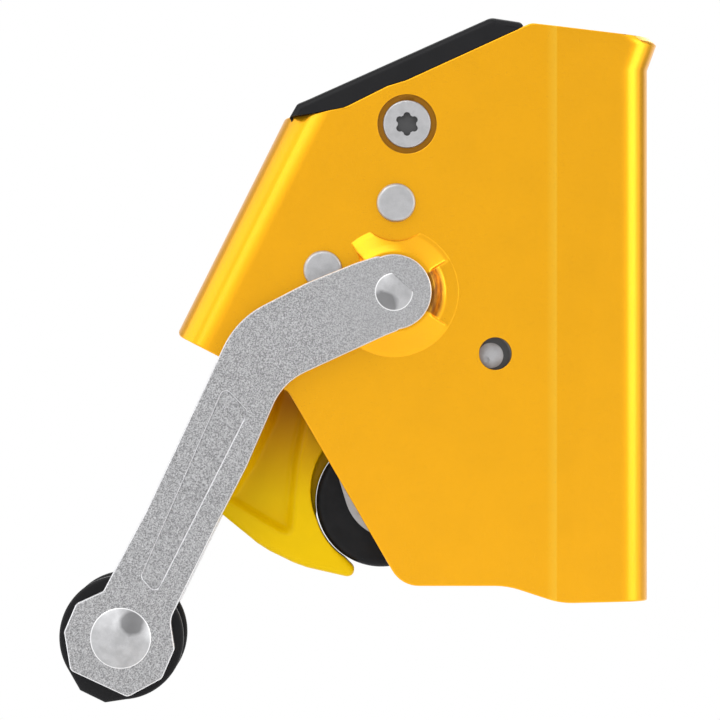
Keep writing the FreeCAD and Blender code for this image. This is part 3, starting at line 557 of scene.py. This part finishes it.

# Colours that the finishes mix in: painted shade and painted highlights
HOLE_SHADE = (0.16, 0.045, 0.002)
PAINTED_CREASE_HIGHLIGHT = (1.0, 0.58, 0.035)
CATCH_SHADE = (0.46, 0.14, 0.0)
PAINTED_RIM_HIGHLIGHT = (0.95, 0.95, 0.96)


def shaded(colour, factor):
    """Colour made darker or lighter by a factor."""
    return tuple(min(1.0, channel * factor) for channel in colour)


def anodised_finish(colours, name, notched=False):
    """Satin orange anodised aluminium, finely blasted, with painted shade in its holes and, when
    notched, on the boss's notch wall, and a painted highlight just left of the crease.
    """
    finish = Finish(name, colours.anodised, 0.92, 0.32)
    finish.shader.inputs["Coat Weight"].default_value = 0.35
    finish.shader.inputs["Coat Roughness"].default_value = 0.15
    grain = finish.noise(0.22 * MM, 2.0, 0.6)
    patches = finish.noise(9.0 * MM, 2.0, 0.5)
    finish.tint(finish.spread(patches, 0.40, 0.70, 0.0, 0.30), shaded(colours.anodised, 0.90))
    finish.tint(finish.spread(grain, 0.35, 0.75, 0.0, 0.16), shaded(colours.anodised, 0.80))
    # Painted shade on the inner wall of the round window in the near plate
    window = Vector((wheel_centre.x + 0.82 * MM, 0, wheel_centre.z + 0.36 * MM))
    near_plate = finish.spread(finish.along("Y"), -2.0 * MM, -3.0 * MM)
    window_wall = finish.spread(finish.beside(window), 3.22 * MM, 3.05 * MM, 0.0, 0.85)
    finish.tint(finish.product(window_wall, near_plate), HOLE_SHADE)
    # Painted shade in a ring round the cover screw's seat
    seat = finish.ring(screw_place, 4.4, 4.6, 5.55, 5.75)
    finish.tint(finish.product(seat, 0.72), HOLE_SHADE)
    # Painted highlight in a strip just left of the crease
    left_of_crease = finish.product(
        finish.spread(finish.along("X"), CREASE_X - 2.0 * MM, CREASE_X - 0.3 * MM, 0.0, 0.6),
        finish.spread(finish.along("X"), CREASE_X + 0.05 * MM, CREASE_X - 0.05 * MM),
    )
    finish.tint(left_of_crease, PAINTED_CREASE_HIGHLIGHT)
    if notched:
        # Painted shade on the wall of the boss's notches, broken into streaks
        notch_wall = finish.product(
            finish.spread(finish.beside(pivot), 9.9 * MM, 9.0 * MM),
            finish.spread(finish.bearing_from(pivot), 0.545, 0.50),
        )
        streaks = finish.noise(0.9 * MM, 2.0, 0.6, (1.0, 1.0, 0.3))
        streak_share = finish.spread(streaks, 0.3, 0.6, 0.5, 0.92)
        finish.tint(finish.product(notch_wall, streak_share), HOLE_SHADE)
    finish.roughness(finish.spread(grain, 0.3, 0.7, 0.27, 0.36))
    finish.relief(grain, 0.10, 0.05 * MM)
    finish.relief(finish.noise(2.6 * MM, 1.0, 0.4), 0.04, 0.05 * MM)
    return finish.material


def moulded_black_finish(colours):
    """Black moulded plastic with a fine dull texture."""
    finish = Finish("moulded black", colours.plastic, 0.0, 0.42)
    finish.shader.inputs["Specular IOR Level"].default_value = 0.22
    grain = finish.noise(0.16 * MM, 2.0, 0.6)
    clouds = finish.noise(5 * MM)
    finish.tint(finish.spread(clouds, 0.3, 0.7, 0.0, 0.5), shaded(colours.plastic, 1.6))
    finish.roughness(finish.spread(grain, 0.3, 0.7, 0.36, 0.52))
    finish.relief(grain, 0.16, 0.04 * MM)
    return finish.material


def rubber_finish(colours):
    """Black roller, smooth with faint turning marks."""
    finish = Finish("black roller", shaded(colours.plastic, 0.9), 0.0, 0.45)
    finish.shader.inputs["Specular IOR Level"].default_value = 0.18
    clouds = finish.noise(3 * MM)
    finish.tint(finish.spread(clouds, 0.35, 0.7, 0.0, 0.6), shaded(colours.plastic, 1.8))
    finish.relief(finish.noise(0.3 * MM, 1.0), 0.08, 0.03 * MM)
    finish.roughness(finish.spread(finish.noise(0.6 * MM), 0.3, 0.7, 0.38, 0.55))
    return finish.material


def catch_finish(colours):
    """Yellow moulded plastic with a soft gloss and painted shade that deepens towards its top,
    under the frame.
    """
    finish = Finish("yellow moulded", colours.catch, 0.0, 0.33)
    finish.shader.inputs["Specular IOR Level"].default_value = 0.1
    clouds = finish.noise(6 * MM)
    finish.tint(finish.spread(clouds, 0.35, 0.7, 0.0, 0.35), shaded(colours.catch, 0.88))
    finish.roughness(finish.spread(finish.noise(0.4 * MM), 0.3, 0.7, 0.28, 0.40))
    finish.relief(finish.noise(0.25 * MM, 1.0), 0.05, 0.03 * MM)
    # Painted shade on the catch, deepening upwards towards the frame that overhangs it
    start = catch_pivot.z - 17 * MM
    full = catch_pivot.z + 2 * MM
    finish.tint(finish.spread(finish.along("Z"), start, full, 0.0, 0.85), CATCH_SHADE)
    return finish.material


def pebbled_steel_finish(colours):
    """Tumbled steel of the arms: a pebbled grain, finer at the two ends."""
    finish = Finish("pebbled steel", colours.steel, 1.0, 0.46)
    past_pivot = finish.spread(finish.away_from(pivot), 13 * MM, 26 * MM)
    past_end = finish.spread(finish.away_from(arm_end), 12 * MM, 16 * MM)
    shank = finish.product(past_pivot, past_end)
    coarse = finish.noise(0.28 * MM, 3.0, 0.70)
    fine = finish.noise(0.14 * MM, 2.0, 0.6)
    coarse_share = finish.spread(shank, 0.0, 1.0, 0.18, 1.0)
    dark_grains = finish.spread(coarse, 0.45, 0.62)
    finish.tint(finish.product(dark_grains, coarse_share), shaded(colours.steel, 0.42))
    bright_grains = finish.spread(coarse, 0.44, 0.34, 0.0, 0.6)
    finish.tint(finish.product(bright_grains, coarse_share), shaded(colours.steel, 1.5))
    finish.tint(finish.spread(fine, 0.45, 0.7, 0.0, 0.35), shaded(colours.steel, 0.80))
    finish.roughness(finish.spread(fine, 0.3, 0.7, 0.34, 0.48))
    finish.relief(finish.product(coarse, coarse_share), 0.75, 0.12 * MM)
    finish.relief(fine, 0.18, 0.04 * MM)
    return finish.material


def painted_rim_highlight_finish(colours):
    """Arm steel made lighter on the arms' rounded rims, as a painted highlight."""
    finish = Finish("rim with painted highlight", shaded(colours.steel, 1.75), 1.0, 0.40)
    fine = finish.noise(0.3 * MM, 2.0, 0.6)
    finish.tint(finish.spread(fine, 0.45, 0.75, 0.0, 0.5), shaded(colours.steel, 1.3))
    finish.relief(fine, 0.10, 0.03 * MM)
    return finish.material


def turned_steel_finish(colours):
    """Turned steel of pins and axle ends, cloudy; two of them carry a painted dark reflection and a
    painted highlight rim, and the screw's socket has painted shade.
    """
    finish = Finish("turned steel", shaded(colours.steel, 1.16), 1.0, 0.42)
    clouds = finish.noise(2.2 * MM, 2.0, 0.5)
    fine = finish.noise(0.16 * MM, 2.0, 0.6)
    finish.tint(finish.spread(clouds, 0.42, 0.66, 0.0, 0.4), shaded(colours.steel, 0.72))
    finish.tint(finish.spread(fine, 0.45, 0.75, 0.0, 0.4), shaded(colours.steel, 0.80))
    # Painted dark reflection as a ragged blot on the arm's end and on the main axle
    for place, sideways, upright in ((arm_end, 2.2, 3.0), (pivot, -1.6, -2.2)):
        spot = (place.x + sideways * MM, place.y, place.z + upright * MM)
        wobble = finish.spread(clouds, 0.0, 1.0, -0.9 * MM, 0.9 * MM)
        ragged = finish.combine("ADD", finish.beside(spot), wobble)
        blot = finish.spread(ragged, 2.7 * MM, 1.9 * MM)
        finish.tint(finish.product(blot, 0.78), shaded(colours.steel, 0.36))
    # Painted highlight as a bright ring on the rims of the arm's end and the main axle
    for place, radius in ((arm_end, 5.8), (pivot, 3.62)):
        rim = finish.ring(place, radius - 0.28, radius - 0.16, radius, radius + 0.1)
        finish.tint(finish.product(rim, 0.85), PAINTED_RIM_HIGHLIGHT)
    # Painted shade in the cover screw's socket
    screw_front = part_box("cover_screw")[0].y
    painted_socket_shade = finish.product(
        finish.spread(finish.beside(screw_place), 2.4 * MM, 2.3 * MM),
        finish.spread(finish.along("Y"), screw_front + 0.1 * MM, screw_front + 0.5 * MM),
    )
    finish.tint(finish.product(painted_socket_shade, 0.9), shaded(colours.steel, 0.12))
    finish.roughness(finish.spread(clouds, 0.3, 0.7, 0.38, 0.50))
    finish.relief(fine, 0.12, 0.03 * MM)
    return finish.material


def plain_steel_finish(colours):
    """Machined steel of the cheeks, wheel and clutch, with painted shade round the wheel's axle
    behind the window.
    """
    finish = Finish("machined steel", shaded(colours.steel, 0.92), 1.0, 0.34)
    strokes = finish.noise(0.35 * MM, 2.0, 0.6, (1.0, 1.0, 6.0))
    # Painted shade round the wheel's axle, where it is seen through the window
    painted_window_shade = finish.spread(finish.beside(wheel_centre), 4.2 * MM, 3.6 * MM, 0.0, 0.88)
    clouds = finish.noise(2.5 * MM, 2.0, 0.5)
    finish.tint(finish.spread(clouds, 0.4, 0.7, 0.0, 0.5), shaded(colours.steel, 0.66))
    finish.tint(painted_window_shade, shaded(colours.steel, 0.10))
    finish.roughness(finish.spread(strokes, 0.3, 0.7, 0.26, 0.44))
    finish.relief(strokes, 0.10, 0.03 * MM)
    return finish.material


def spring_finish(colours):
    """Drawn spring wire, a little darker."""
    finish = Finish("spring wire", shaded(colours.steel, 0.72), 1.0, 0.30)
    streaks = finish.noise(0.5 * MM, 2.0, 0.6)
    finish.tint(finish.spread(streaks, 0.4, 0.7, 0.0, 0.6), shaded(colours.steel, 0.45))
    finish.relief(streaks, 0.08, 0.02 * MM)
    return finish.material


def bronze_finish(colours):
    """Sintered bronze of the plain bearings."""
    finish = Finish("bearing bronze", colours.bronze, 1.0, 0.40)
    pores = finish.noise(0.25 * MM, 2.0, 0.7)
    finish.tint(finish.spread(pores, 0.5, 0.7, 0.0, 0.7), shaded(colours.bronze, 0.55))
    finish.relief(pores, 0.15, 0.03 * MM)
    return finish.material


def make_finishes():
    """Makes every finish once."""
    colours = bpy.context.scene.arrester_colours
    finishes.update(
        anodised=anodised_finish(colours, "anodised aluminium"),
        boss=anodised_finish(colours, "boss aluminium", notched=True),
        black=moulded_black_finish(colours),
        rubber=rubber_finish(colours),
        yellow=catch_finish(colours),
        pebbled=pebbled_steel_finish(colours),
        rim=painted_rim_highlight_finish(colours),
        turned=turned_steel_finish(colours),
        plain=plain_steel_finish(colours),
        spring=spring_finish(colours),
        bronze=bronze_finish(colours),
    )


# Operators
class ARRESTER_OT_frame(bpy.types.Operator):
    """Make the bent frame with its rounded edges"""

    bl_idname = "arrester.frame"
    bl_label = "Frame"

    def execute(self, context):
        sizes = context.scene.arrester_sizes
        piece = node_copy("frame", "bent_frame")
        low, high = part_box("frame")
        trim(piece, half_depth, True)
        trim(piece, -half_depth, False)
        holes = (
            (pivot, PIVOT_REACH * MM), (wheel_centre, WINDOW_REACH * MM),
            (screw_place, SEAT_REACH[1] * MM), (upper_pin_place, PIN_REACH * MM),
            (lower_pin_place, PIN_REACH * MM),
        )
        section_left = low.x + half_depth
        section_right = high.x - half_depth

        def in_hole(middle):
            return any(flat_distance(middle, place) < reach for place, reach in holes)

        def outward(middle):
            nearest = min(max(middle.x, section_left), section_right)
            return Vector((middle.x - nearest, middle.y, 0))

        def outer_rim(middle, first, second, angle):
            at_lip = middle.x > LIP_CORNER[0] * MM and middle.z > LIP_CORNER[1] * MM
            return (
                angle > RIM_ANGLE
                and not in_hole(middle)
                and not at_lip
                and (first + second).dot(outward(middle)) > 0
            )

        def crease(middle, first, second, angle):
            upright = abs(first.z) < UPRIGHT and abs(second.z) < UPRIGHT
            return upright and CREASE_ANGLES[0] < angle < CREASE_ANGLES[1]

        def hole_rim(middle, first, second, angle):
            at_window = flat_distance(middle, wheel_centre) < WINDOW_REACH * MM
            from_screw = flat_distance(middle, screw_place)
            at_seat = SEAT_REACH[0] * MM < from_screw < SEAT_REACH[1] * MM
            on_plate = abs(abs(middle.y) - half_depth) < ON_PLANE
            return (at_window or at_seat) and on_plate and angle > SQUARE_ANGLE

        round_edges(piece, sizes.hole_round, hole_rim, 2)
        select_edges(piece, crease)
        bpy.ops.mesh.mark_sharp()
        bpy.ops.object.mode_set(mode="OBJECT")
        round_edges(piece, sizes.frame_round, outer_rim, 4)
        smooth(piece, FRAME_SMOOTH_ANGLE)
        ride(piece, "frame_body", "orange_aluminium", finishes["anodised"], "frame")
        return {"FINISHED"}


class ARRESTER_OT_boss(bpy.types.Operator):
    """Make the forged boss round the main axle, on both sides"""

    bl_idname = "arrester.boss"
    bl_label = "Axle boss"

    def execute(self, context):
        sizes = context.scene.arrester_sizes
        foot, top = (half_depth + level * MM for level in CUTTER_LEVELS)

        def stack(name, rings):
            steps = [(radius * MM, half_depth + height * MM) for radius, height in rings]
            return ring_stack(name, pivot, steps)

        def wedge(first, last):
            corners = [(0, 0, 0)]
            for angle in (first, (first + last) / 2, last):
                turn = math.radians(angle)
                x = NOTCH_REACH * math.cos(turn) * MM
                z = NOTCH_REACH * math.sin(turn) * MM
                corners.append((x, z, 0))
            return prism("notch", pivot, corners, half_depth + NOTCH_FLOOR * MM, top)

        cone = stack("boss_far", BOSS_RINGS)
        for first, last in BOSS_NOTCHES:
            take(cone, wedge(first, last))
        take(cone, stack("core", CORE_RINGS), "UNION")
        for place in (upper_pin_place, lower_pin_place):
            take(cone, bar("spot", place, PIN_SPOT_RADIUS, foot, top))
        take(cone, bar("bore", pivot, BOSS_BORE_RADIUS, foot, top))
        soften(cone, BOSS_VOXEL, sizes.boss_rounds, 0.4)
        near = cone.copy()
        near.data = cone.data.copy()
        near.name = "boss_near"
        context.scene.collection.objects.link(near)
        near.scale = (1, -1, 1)
        select_only(near)
        bpy.ops.object.transform_apply(location=True, rotation=True, scale=True)
        face_out(near)
        for piece in (near, cone):
            ride(piece, "frame_body", "orange_aluminium", finishes["boss"])
        return {"FINISHED"}


class ARRESTER_OT_cover(bpy.types.Operator):
    """Make the black top cover"""

    bl_idname = "arrester.cover"
    bl_label = "Top cover"

    def execute(self, context):
        piece = node_copy("top_cover", "cover")
        smooth(piece)
        ride(piece, "frame_body", "black_plastic", finishes["black"], "top_cover")
        return {"FINISHED"}


class ARRESTER_OT_arms(bpy.types.Operator):
    """Make the two arms with rounded edges, their rims in a painted highlight"""

    bl_idname = "arrester.arms"
    bl_label = "Arms"

    def execute(self, context):
        sizes = context.scene.arrester_sizes
        for node, name in (("near_arm", "arm_near"), ("far_arm", "arm_far")):
            piece = node_copy(node, name, TINY_EDGE)
            low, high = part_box(node)

            def rim(middle, first, second, angle):
                on_face = min(middle.y - low.y, high.y - middle.y) < MERGE
                clear_of_pivot = flat_distance(middle, pivot) > PIVOT_HOLE_REACH * MM
                clear_of_end = flat_distance(middle, arm_end) > END_HOLE_REACH * MM
                return angle > SHARP_ANGLE and on_face and clear_of_pivot and clear_of_end

            round_edges(piece, sizes.arm_round, rim)
            smooth(piece)
            ride(piece, "arm_body", "arm_steel", finishes["pebbled"], node)
            # Rim faces take the lighter steel as a painted highlight
            piece.data.materials.append(finishes["rim"])
            for face in piece.data.polygons:
                face.material_index = int(RIM_SLOPES[0] < abs(face.normal.y) < RIM_SLOPES[1])
        return {"FINISHED"}


class ARRESTER_OT_lanyard_end(bpy.types.Operator):
    """Make the black bush at the arm's end"""

    bl_idname = "arrester.lanyard_end"
    bl_label = "Lanyard bush"

    def execute(self, context):
        sizes = context.scene.arrester_sizes
        piece = node_copy("end_bush", "lanyard_bush")

        def rim(middle, first, second, angle):
            return angle > SQUARE_ANGLE

        round_edges(piece, sizes.plastic_round, rim)
        smooth(piece)
        ride(piece, "arm_body", "black_plastic", finishes["black"], "end_bush")
        return {"FINISHED"}


class ARRESTER_OT_catch(bpy.types.Operator):
    """Make the yellow safety catch with its soft pockets"""

    bl_idname = "arrester.catch"
    bl_label = "Safety catch"

    def execute(self, context):
        sizes = context.scene.arrester_sizes
        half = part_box("safety_catch")[1].y
        over = half + OVER
        outline = [(x * MM, z * MM, radius * MM) for x, z, radius in CATCH_OUTLINE]
        body = prism("catch", catch_pivot, outline, -half, half)

        def rim(middle, first, second, angle):
            return abs(abs(middle.y) - half) < MERGE

        round_edges(body, sizes.catch_round, rim, 4)
        take(body, bar("boss", catch_pivot, CATCH_BOSS_RADIUS, -half, half), "UNION")
        take(body, bar("room", roller_centre, ROLLER_ROOM_RADIUS, -over, over, ROOM_SEGMENTS))
        upper = roller_centre + UPPER_ROOM_OFFSET
        for start, end in ((-over, -SHELF_HALF), (SHELF_HALF, over)):
            take(body, bar("upper_room", upper, UPPER_ROOM_RADIUS, start, end, ROOM_SEGMENTS))
        take(body, self.shelf(), "UNION")
        for side in (-1, 1):
            take(body, self.pocket_cutter(side, half))
        take(body, bar("bore", catch_pivot, CATCH_BORE_RADIUS, -over, over))
        spring_ends = (-SPRING_ROOM_HALF, SPRING_ROOM_HALF)
        take(body, bar("spring_room", catch_pivot, SPRING_ROOM_RADIUS, *spring_ends))
        soften(body, CATCH_VOXEL, sizes.catch_rounds, 0.4)
        ride(body, "catch_body", "yellow_plastic", finishes["yellow"], "safety_catch")
        return {"FINISHED"}

    def shelf(self):
        """Thin curved wall along the middle of the roller's rim."""
        first, last = SHELF_ANGLES
        shares = [step / SHELF_STEPS for step in range(SHELF_STEPS + 1)]
        bearings = [math.radians(first + share * (last - first)) for share in shares]
        corners = []
        for radius, turns in zip(SHELF_RADII, (bearings, reversed(bearings))):
            for turn in turns:
                corners.append((radius * MM * math.cos(turn), radius * MM * math.sin(turn), 0))
        return prism("shelf", roller_centre, corners, -SHELF_HALF, SHELF_HALF)

    def pocket_cutter(self, side, half):
        """Flared hollow of one face, its wall leaning out and its floor gently dished."""
        corners = [(x * MM, z * MM, 0) for x, z in POCKET_OUTLINE]
        cutter = prism("pocket", catch_pivot, corners, side * (half + OVER), side * half)
        select_only(cutter)
        bpy.ops.object.mode_set(mode="EDIT")
        bpy.ops.mesh.select_mode(type="FACE")
        bpy.ops.mesh.select_all(action="DESELECT")
        mesh = bmesh.from_edit_mesh(cutter.data)
        for face in mesh.faces:
            if all(abs(corner.co.y - side * half) < MERGE for corner in face.verts):
                face.select = True
        bmesh.update_edit_mesh(cutter.data)
        for width, depth in POCKET_STEPS:
            bpy.ops.mesh.inset(thickness=width * MM, depth=0)
            step = (-POCKET_LEAN * width * MM, -side * depth * MM, 0)
            bpy.ops.transform.translate(value=step)
        bpy.ops.object.mode_set(mode="OBJECT")
        face_out(cutter)
        return cutter


class ARRESTER_OT_kept_parts(bpy.types.Operator):
    """Give the parts that keep their own shape their finishes"""

    bl_idname = "arrester.kept_parts"
    bl_label = "Small parts"

    def execute(self, context):
        groups = {
            "turned": (
                "cover_screw", "cover_nut", "upper_pin", "lower_pin", "pivot_axle", "end_axle",
                "end_screw", "wheel_axle",
            ),
            "plain": (
                "upper_sleeve", "lower_sleeve", "end_sleeve", "near_cheek", "far_cheek", "stop_pin",
                "wheel_washer", "clutch_ring", "clutch_rivets", "roller_axle", "catch_pin",
                "locking_wheel", "pawl_pins", "front_pawl", "rear_pawl",
            ),
            "spring": ("return_spring", "catch_spring", "garter_spring"),
            "bronze": ("pivot_bushes", "wheel_bearing", "roller_hub"),
            "rubber": ("buffer_roller",),
        }
        for finish, names in groups.items():
            for name in names:
                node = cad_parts[name]
                node.data.materials.clear()
                node.data.materials.append(finishes[finish])
        return {"FINISHED"}


class ARRESTER_OT_stage(bpy.types.Operator):
    """Set the pale floor, the soft lamps and the camera"""

    bl_idname = "arrester.stage"
    bl_label = "Stage"

    def execute(self, context):
        add_floor()
        add_world()
        add_lamps()
        add_camera()
        context.scene.view_settings.view_transform = "Standard"
        return {"FINISHED"}


# Floor and camera: the floor's size, its drop and where it turns white, and the camera's view
FLOOR_SIZE = 8.0
FLOOR_DROP = 60 * MM
FLOOR_FADE = (0.25, 0.9)
CAMERA_DISTANCE = 1.2
SENSOR_WIDTH = 36.0
VIEW_WIDTH = 136.8 * MM
VIEW_SHIFT_X = -6.41 * MM

# Brightness of the surroundings by bearing in degrees: 0 is in front of the window side, 90 right
STUDIO_STEPS = (
    (-180, 1.05), (-150, 0.80), (-128, 0.42), (-110, 0.52), (-92, 0.70), (-75, 0.86),
    (-55, 0.90), (-40, 0.84), (-22, 0.76), (0, 0.68), (14, 0.68), (30, 0.80), (50, 0.92),
    (64, 1.20), (84, 1.34), (96, 1.22), (108, 0.18), (122, 0.15), (136, 1.00), (180, 1.05),
)

# The ramp holds shares of this brightness, and the two levels, straight down and up, bring it back
RAMP_SCALE = 3
STUDIO_LEVELS = (2.2, 3.6)

# Lamps: name, place, size in metres, power in watts
LAMPS = (
    ("key lamp", (-0.55, -0.95, 0.85), 1.10, 6.0),
    ("left lamp", (-1.10, 0.00, 0.15), 0.90, 2.6),
    ("right lamp", (1.00, -0.45, 0.20), 0.60, 1.8),
    ("back lamp", (0.10, 1.00, 0.80), 1.10, 6.0),
)


def add_floor():
    """Pale floor below the part, white further out."""
    bpy.ops.object.select_all(action="DESELECT")
    level = cad_box[0][2]
    bpy.ops.mesh.primitive_plane_add(size=FLOOR_SIZE, location=(0, 0, level - FLOOR_DROP))
    floor = bpy.context.active_object
    floor.name = "floor"
    bpy.ops.object.transform_apply(location=True, rotation=True, scale=True)
    finish = Finish("pale floor", (0.90, 0.90, 0.90), 0.0, 0.9)
    white = finish.nodes.new("ShaderNodeEmission")
    white.inputs["Strength"].default_value = 1.0
    mix = finish.nodes.new("ShaderNodeMixShader")
    path = finish.nodes.new("ShaderNodeLightPath")
    far = finish.spread(finish.away_from((pivot.x, 0, level)), *FLOOR_FADE)
    share = finish.combine("MULTIPLY", far, path.outputs["Is Camera Ray"])
    finish.links.new(share, mix.inputs["Fac"])
    finish.links.new(finish.shader.outputs["BSDF"], mix.inputs[1])
    finish.links.new(white.outputs["Emission"], mix.inputs[2])
    finish.links.new(mix.outputs["Shader"], finish.nodes["Material Output"].inputs["Surface"])
    floor.data.materials.append(finish.material)


def add_world():
    """Soft even surroundings, white behind the part."""
    world = bpy.data.worlds.new("studio")
    bpy.context.scene.world = world
    world.use_nodes = True
    nodes = world.node_tree.nodes
    links = world.node_tree.links
    background = nodes["Background"]
    background.inputs["Color"].default_value = (1, 1, 1, 1)
    path = nodes.new("ShaderNodeLightPath")
    direction = nodes.new("ShaderNodeTexCoord")
    parts = nodes.new("ShaderNodeSeparateXYZ")
    links.new(direction.outputs["Generated"], parts.inputs["Vector"])
    towards = nodes.new("ShaderNodeMath")
    towards.operation = "MULTIPLY"
    towards.inputs[1].default_value = -1
    links.new(parts.outputs["Y"], towards.inputs[0])
    bearing = nodes.new("ShaderNodeMath")
    bearing.operation = "ARCTAN2"
    links.new(parts.outputs["X"], bearing.inputs[0])
    links.new(towards.outputs["Value"], bearing.inputs[1])
    turn = nodes.new("ShaderNodeMapRange")
    turn.inputs["From Min"].default_value = -math.pi
    turn.inputs["From Max"].default_value = math.pi
    links.new(bearing.outputs["Value"], turn.inputs["Value"])
    ramp = nodes.new("ShaderNodeValToRGB")
    links.new(turn.outputs["Result"], ramp.inputs["Fac"])
    steps = ramp.color_ramp.elements
    for number, (degrees, bright) in enumerate(STUDIO_STEPS):
        place = degrees / 360 + 0.5
        step = steps[number] if number < 2 else steps.new(place)
        step.position = place
        share = bright / RAMP_SCALE
        step.color = (share, share, share, 1)
    height = nodes.new("ShaderNodeMapRange")
    height.inputs["From Min"].default_value = -1
    height.inputs["To Min"].default_value = STUDIO_LEVELS[0]
    height.inputs["To Max"].default_value = STUDIO_LEVELS[1]
    links.new(parts.outputs["Z"], height.inputs["Value"])
    level = nodes.new("ShaderNodeMath")
    level.operation = "MULTIPLY"
    links.new(ramp.outputs["Color"], level.inputs[0])
    links.new(height.outputs["Result"], level.inputs[1])
    strength = nodes.new("ShaderNodeMix")
    strength.inputs["B"].default_value = 1.0
    links.new(path.outputs["Is Camera Ray"], strength.inputs["Factor"])
    links.new(level.outputs["Value"], strength.inputs["A"])
    links.new(strength.outputs["Result"], background.inputs["Strength"])


def add_lamps():
    """Large soft lamps in front, on the left, on the right and behind."""
    target = Vector((pivot.x, 0, 0))
    for name, place, size, power in LAMPS:
        light = bpy.data.lights.new(name, "AREA")
        light.size = size
        light.energy = power
        lamp = bpy.data.objects.new(name, light)
        lamp.location = place
        lamp.rotation_euler = (target - Vector(place)).to_track_quat("-Z", "Y").to_euler()
        bpy.context.scene.collection.objects.link(lamp)


def add_camera():
    """Camera straight in front of the part, as in the photograph."""
    target = Vector((pivot.x + VIEW_SHIFT_X, near_face, 0))
    away = Vector((0, -1, 0))
    data = bpy.data.cameras.new("photo camera")
    data.sensor_width = SENSOR_WIDTH
    data.lens = data.sensor_width * CAMERA_DISTANCE / VIEW_WIDTH
    data.clip_start = 0.01
    camera = bpy.data.objects.new("photo camera", data)
    camera.location = target + away * CAMERA_DISTANCE
    camera.rotation_euler = (-away).to_track_quat("-Z", "Y").to_euler()
    bpy.context.scene.collection.objects.link(camera)
    bpy.context.scene.camera = camera


class ARRESTER_PT_panel(bpy.types.Panel):
    """Sidebar panel with the pieces' operators"""

    bl_idname = "ARRESTER_PT_panel"
    bl_label = "Mobile fall arrester"
    bl_space_type = "VIEW_3D"
    bl_region_type = "UI"
    bl_category = "Arrester"

    def draw(self, context):
        sizes = context.scene.arrester_sizes
        for name in ArresterSizes.__annotations__:
            self.layout.prop(sizes, name)
        colours = context.scene.arrester_colours
        for name in ArresterColours.__annotations__:
            self.layout.prop(colours, name)
        for operator in PIECE_OPERATORS:
            self.layout.operator(operator.bl_idname)


PIECE_OPERATORS = (
    ARRESTER_OT_frame,
    ARRESTER_OT_boss,
    ARRESTER_OT_cover,
    ARRESTER_OT_arms,
    ARRESTER_OT_lanyard_end,
    ARRESTER_OT_catch,
    ARRESTER_OT_kept_parts,
    ARRESTER_OT_stage,
)
CLASSES = (ArresterSizes, ArresterColours, *PIECE_OPERATORS, ARRESTER_PT_panel)


def register():
    """Registers the classes and the scene's settings."""
    for entry in CLASSES:
        bpy.utils.register_class(entry)
    bpy.types.Scene.arrester_sizes = bpy.props.PointerProperty(type=ArresterSizes)
    bpy.types.Scene.arrester_colours = bpy.props.PointerProperty(type=ArresterColours)


def unregister():
    """Removes the scene's settings and the classes."""
    del bpy.types.Scene.arrester_colours
    del bpy.types.Scene.arrester_sizes
    for entry in reversed(CLASSES):
        bpy.utils.unregister_class(entry)


def main():
    """Makes every piece in order."""
    register()
    make_finishes()
    for operator in PIECE_OPERATORS:
        group, name = operator.bl_idname.split(".")
        getattr(getattr(bpy.ops, group), name)()


if __name__ == "__main__":
    main()
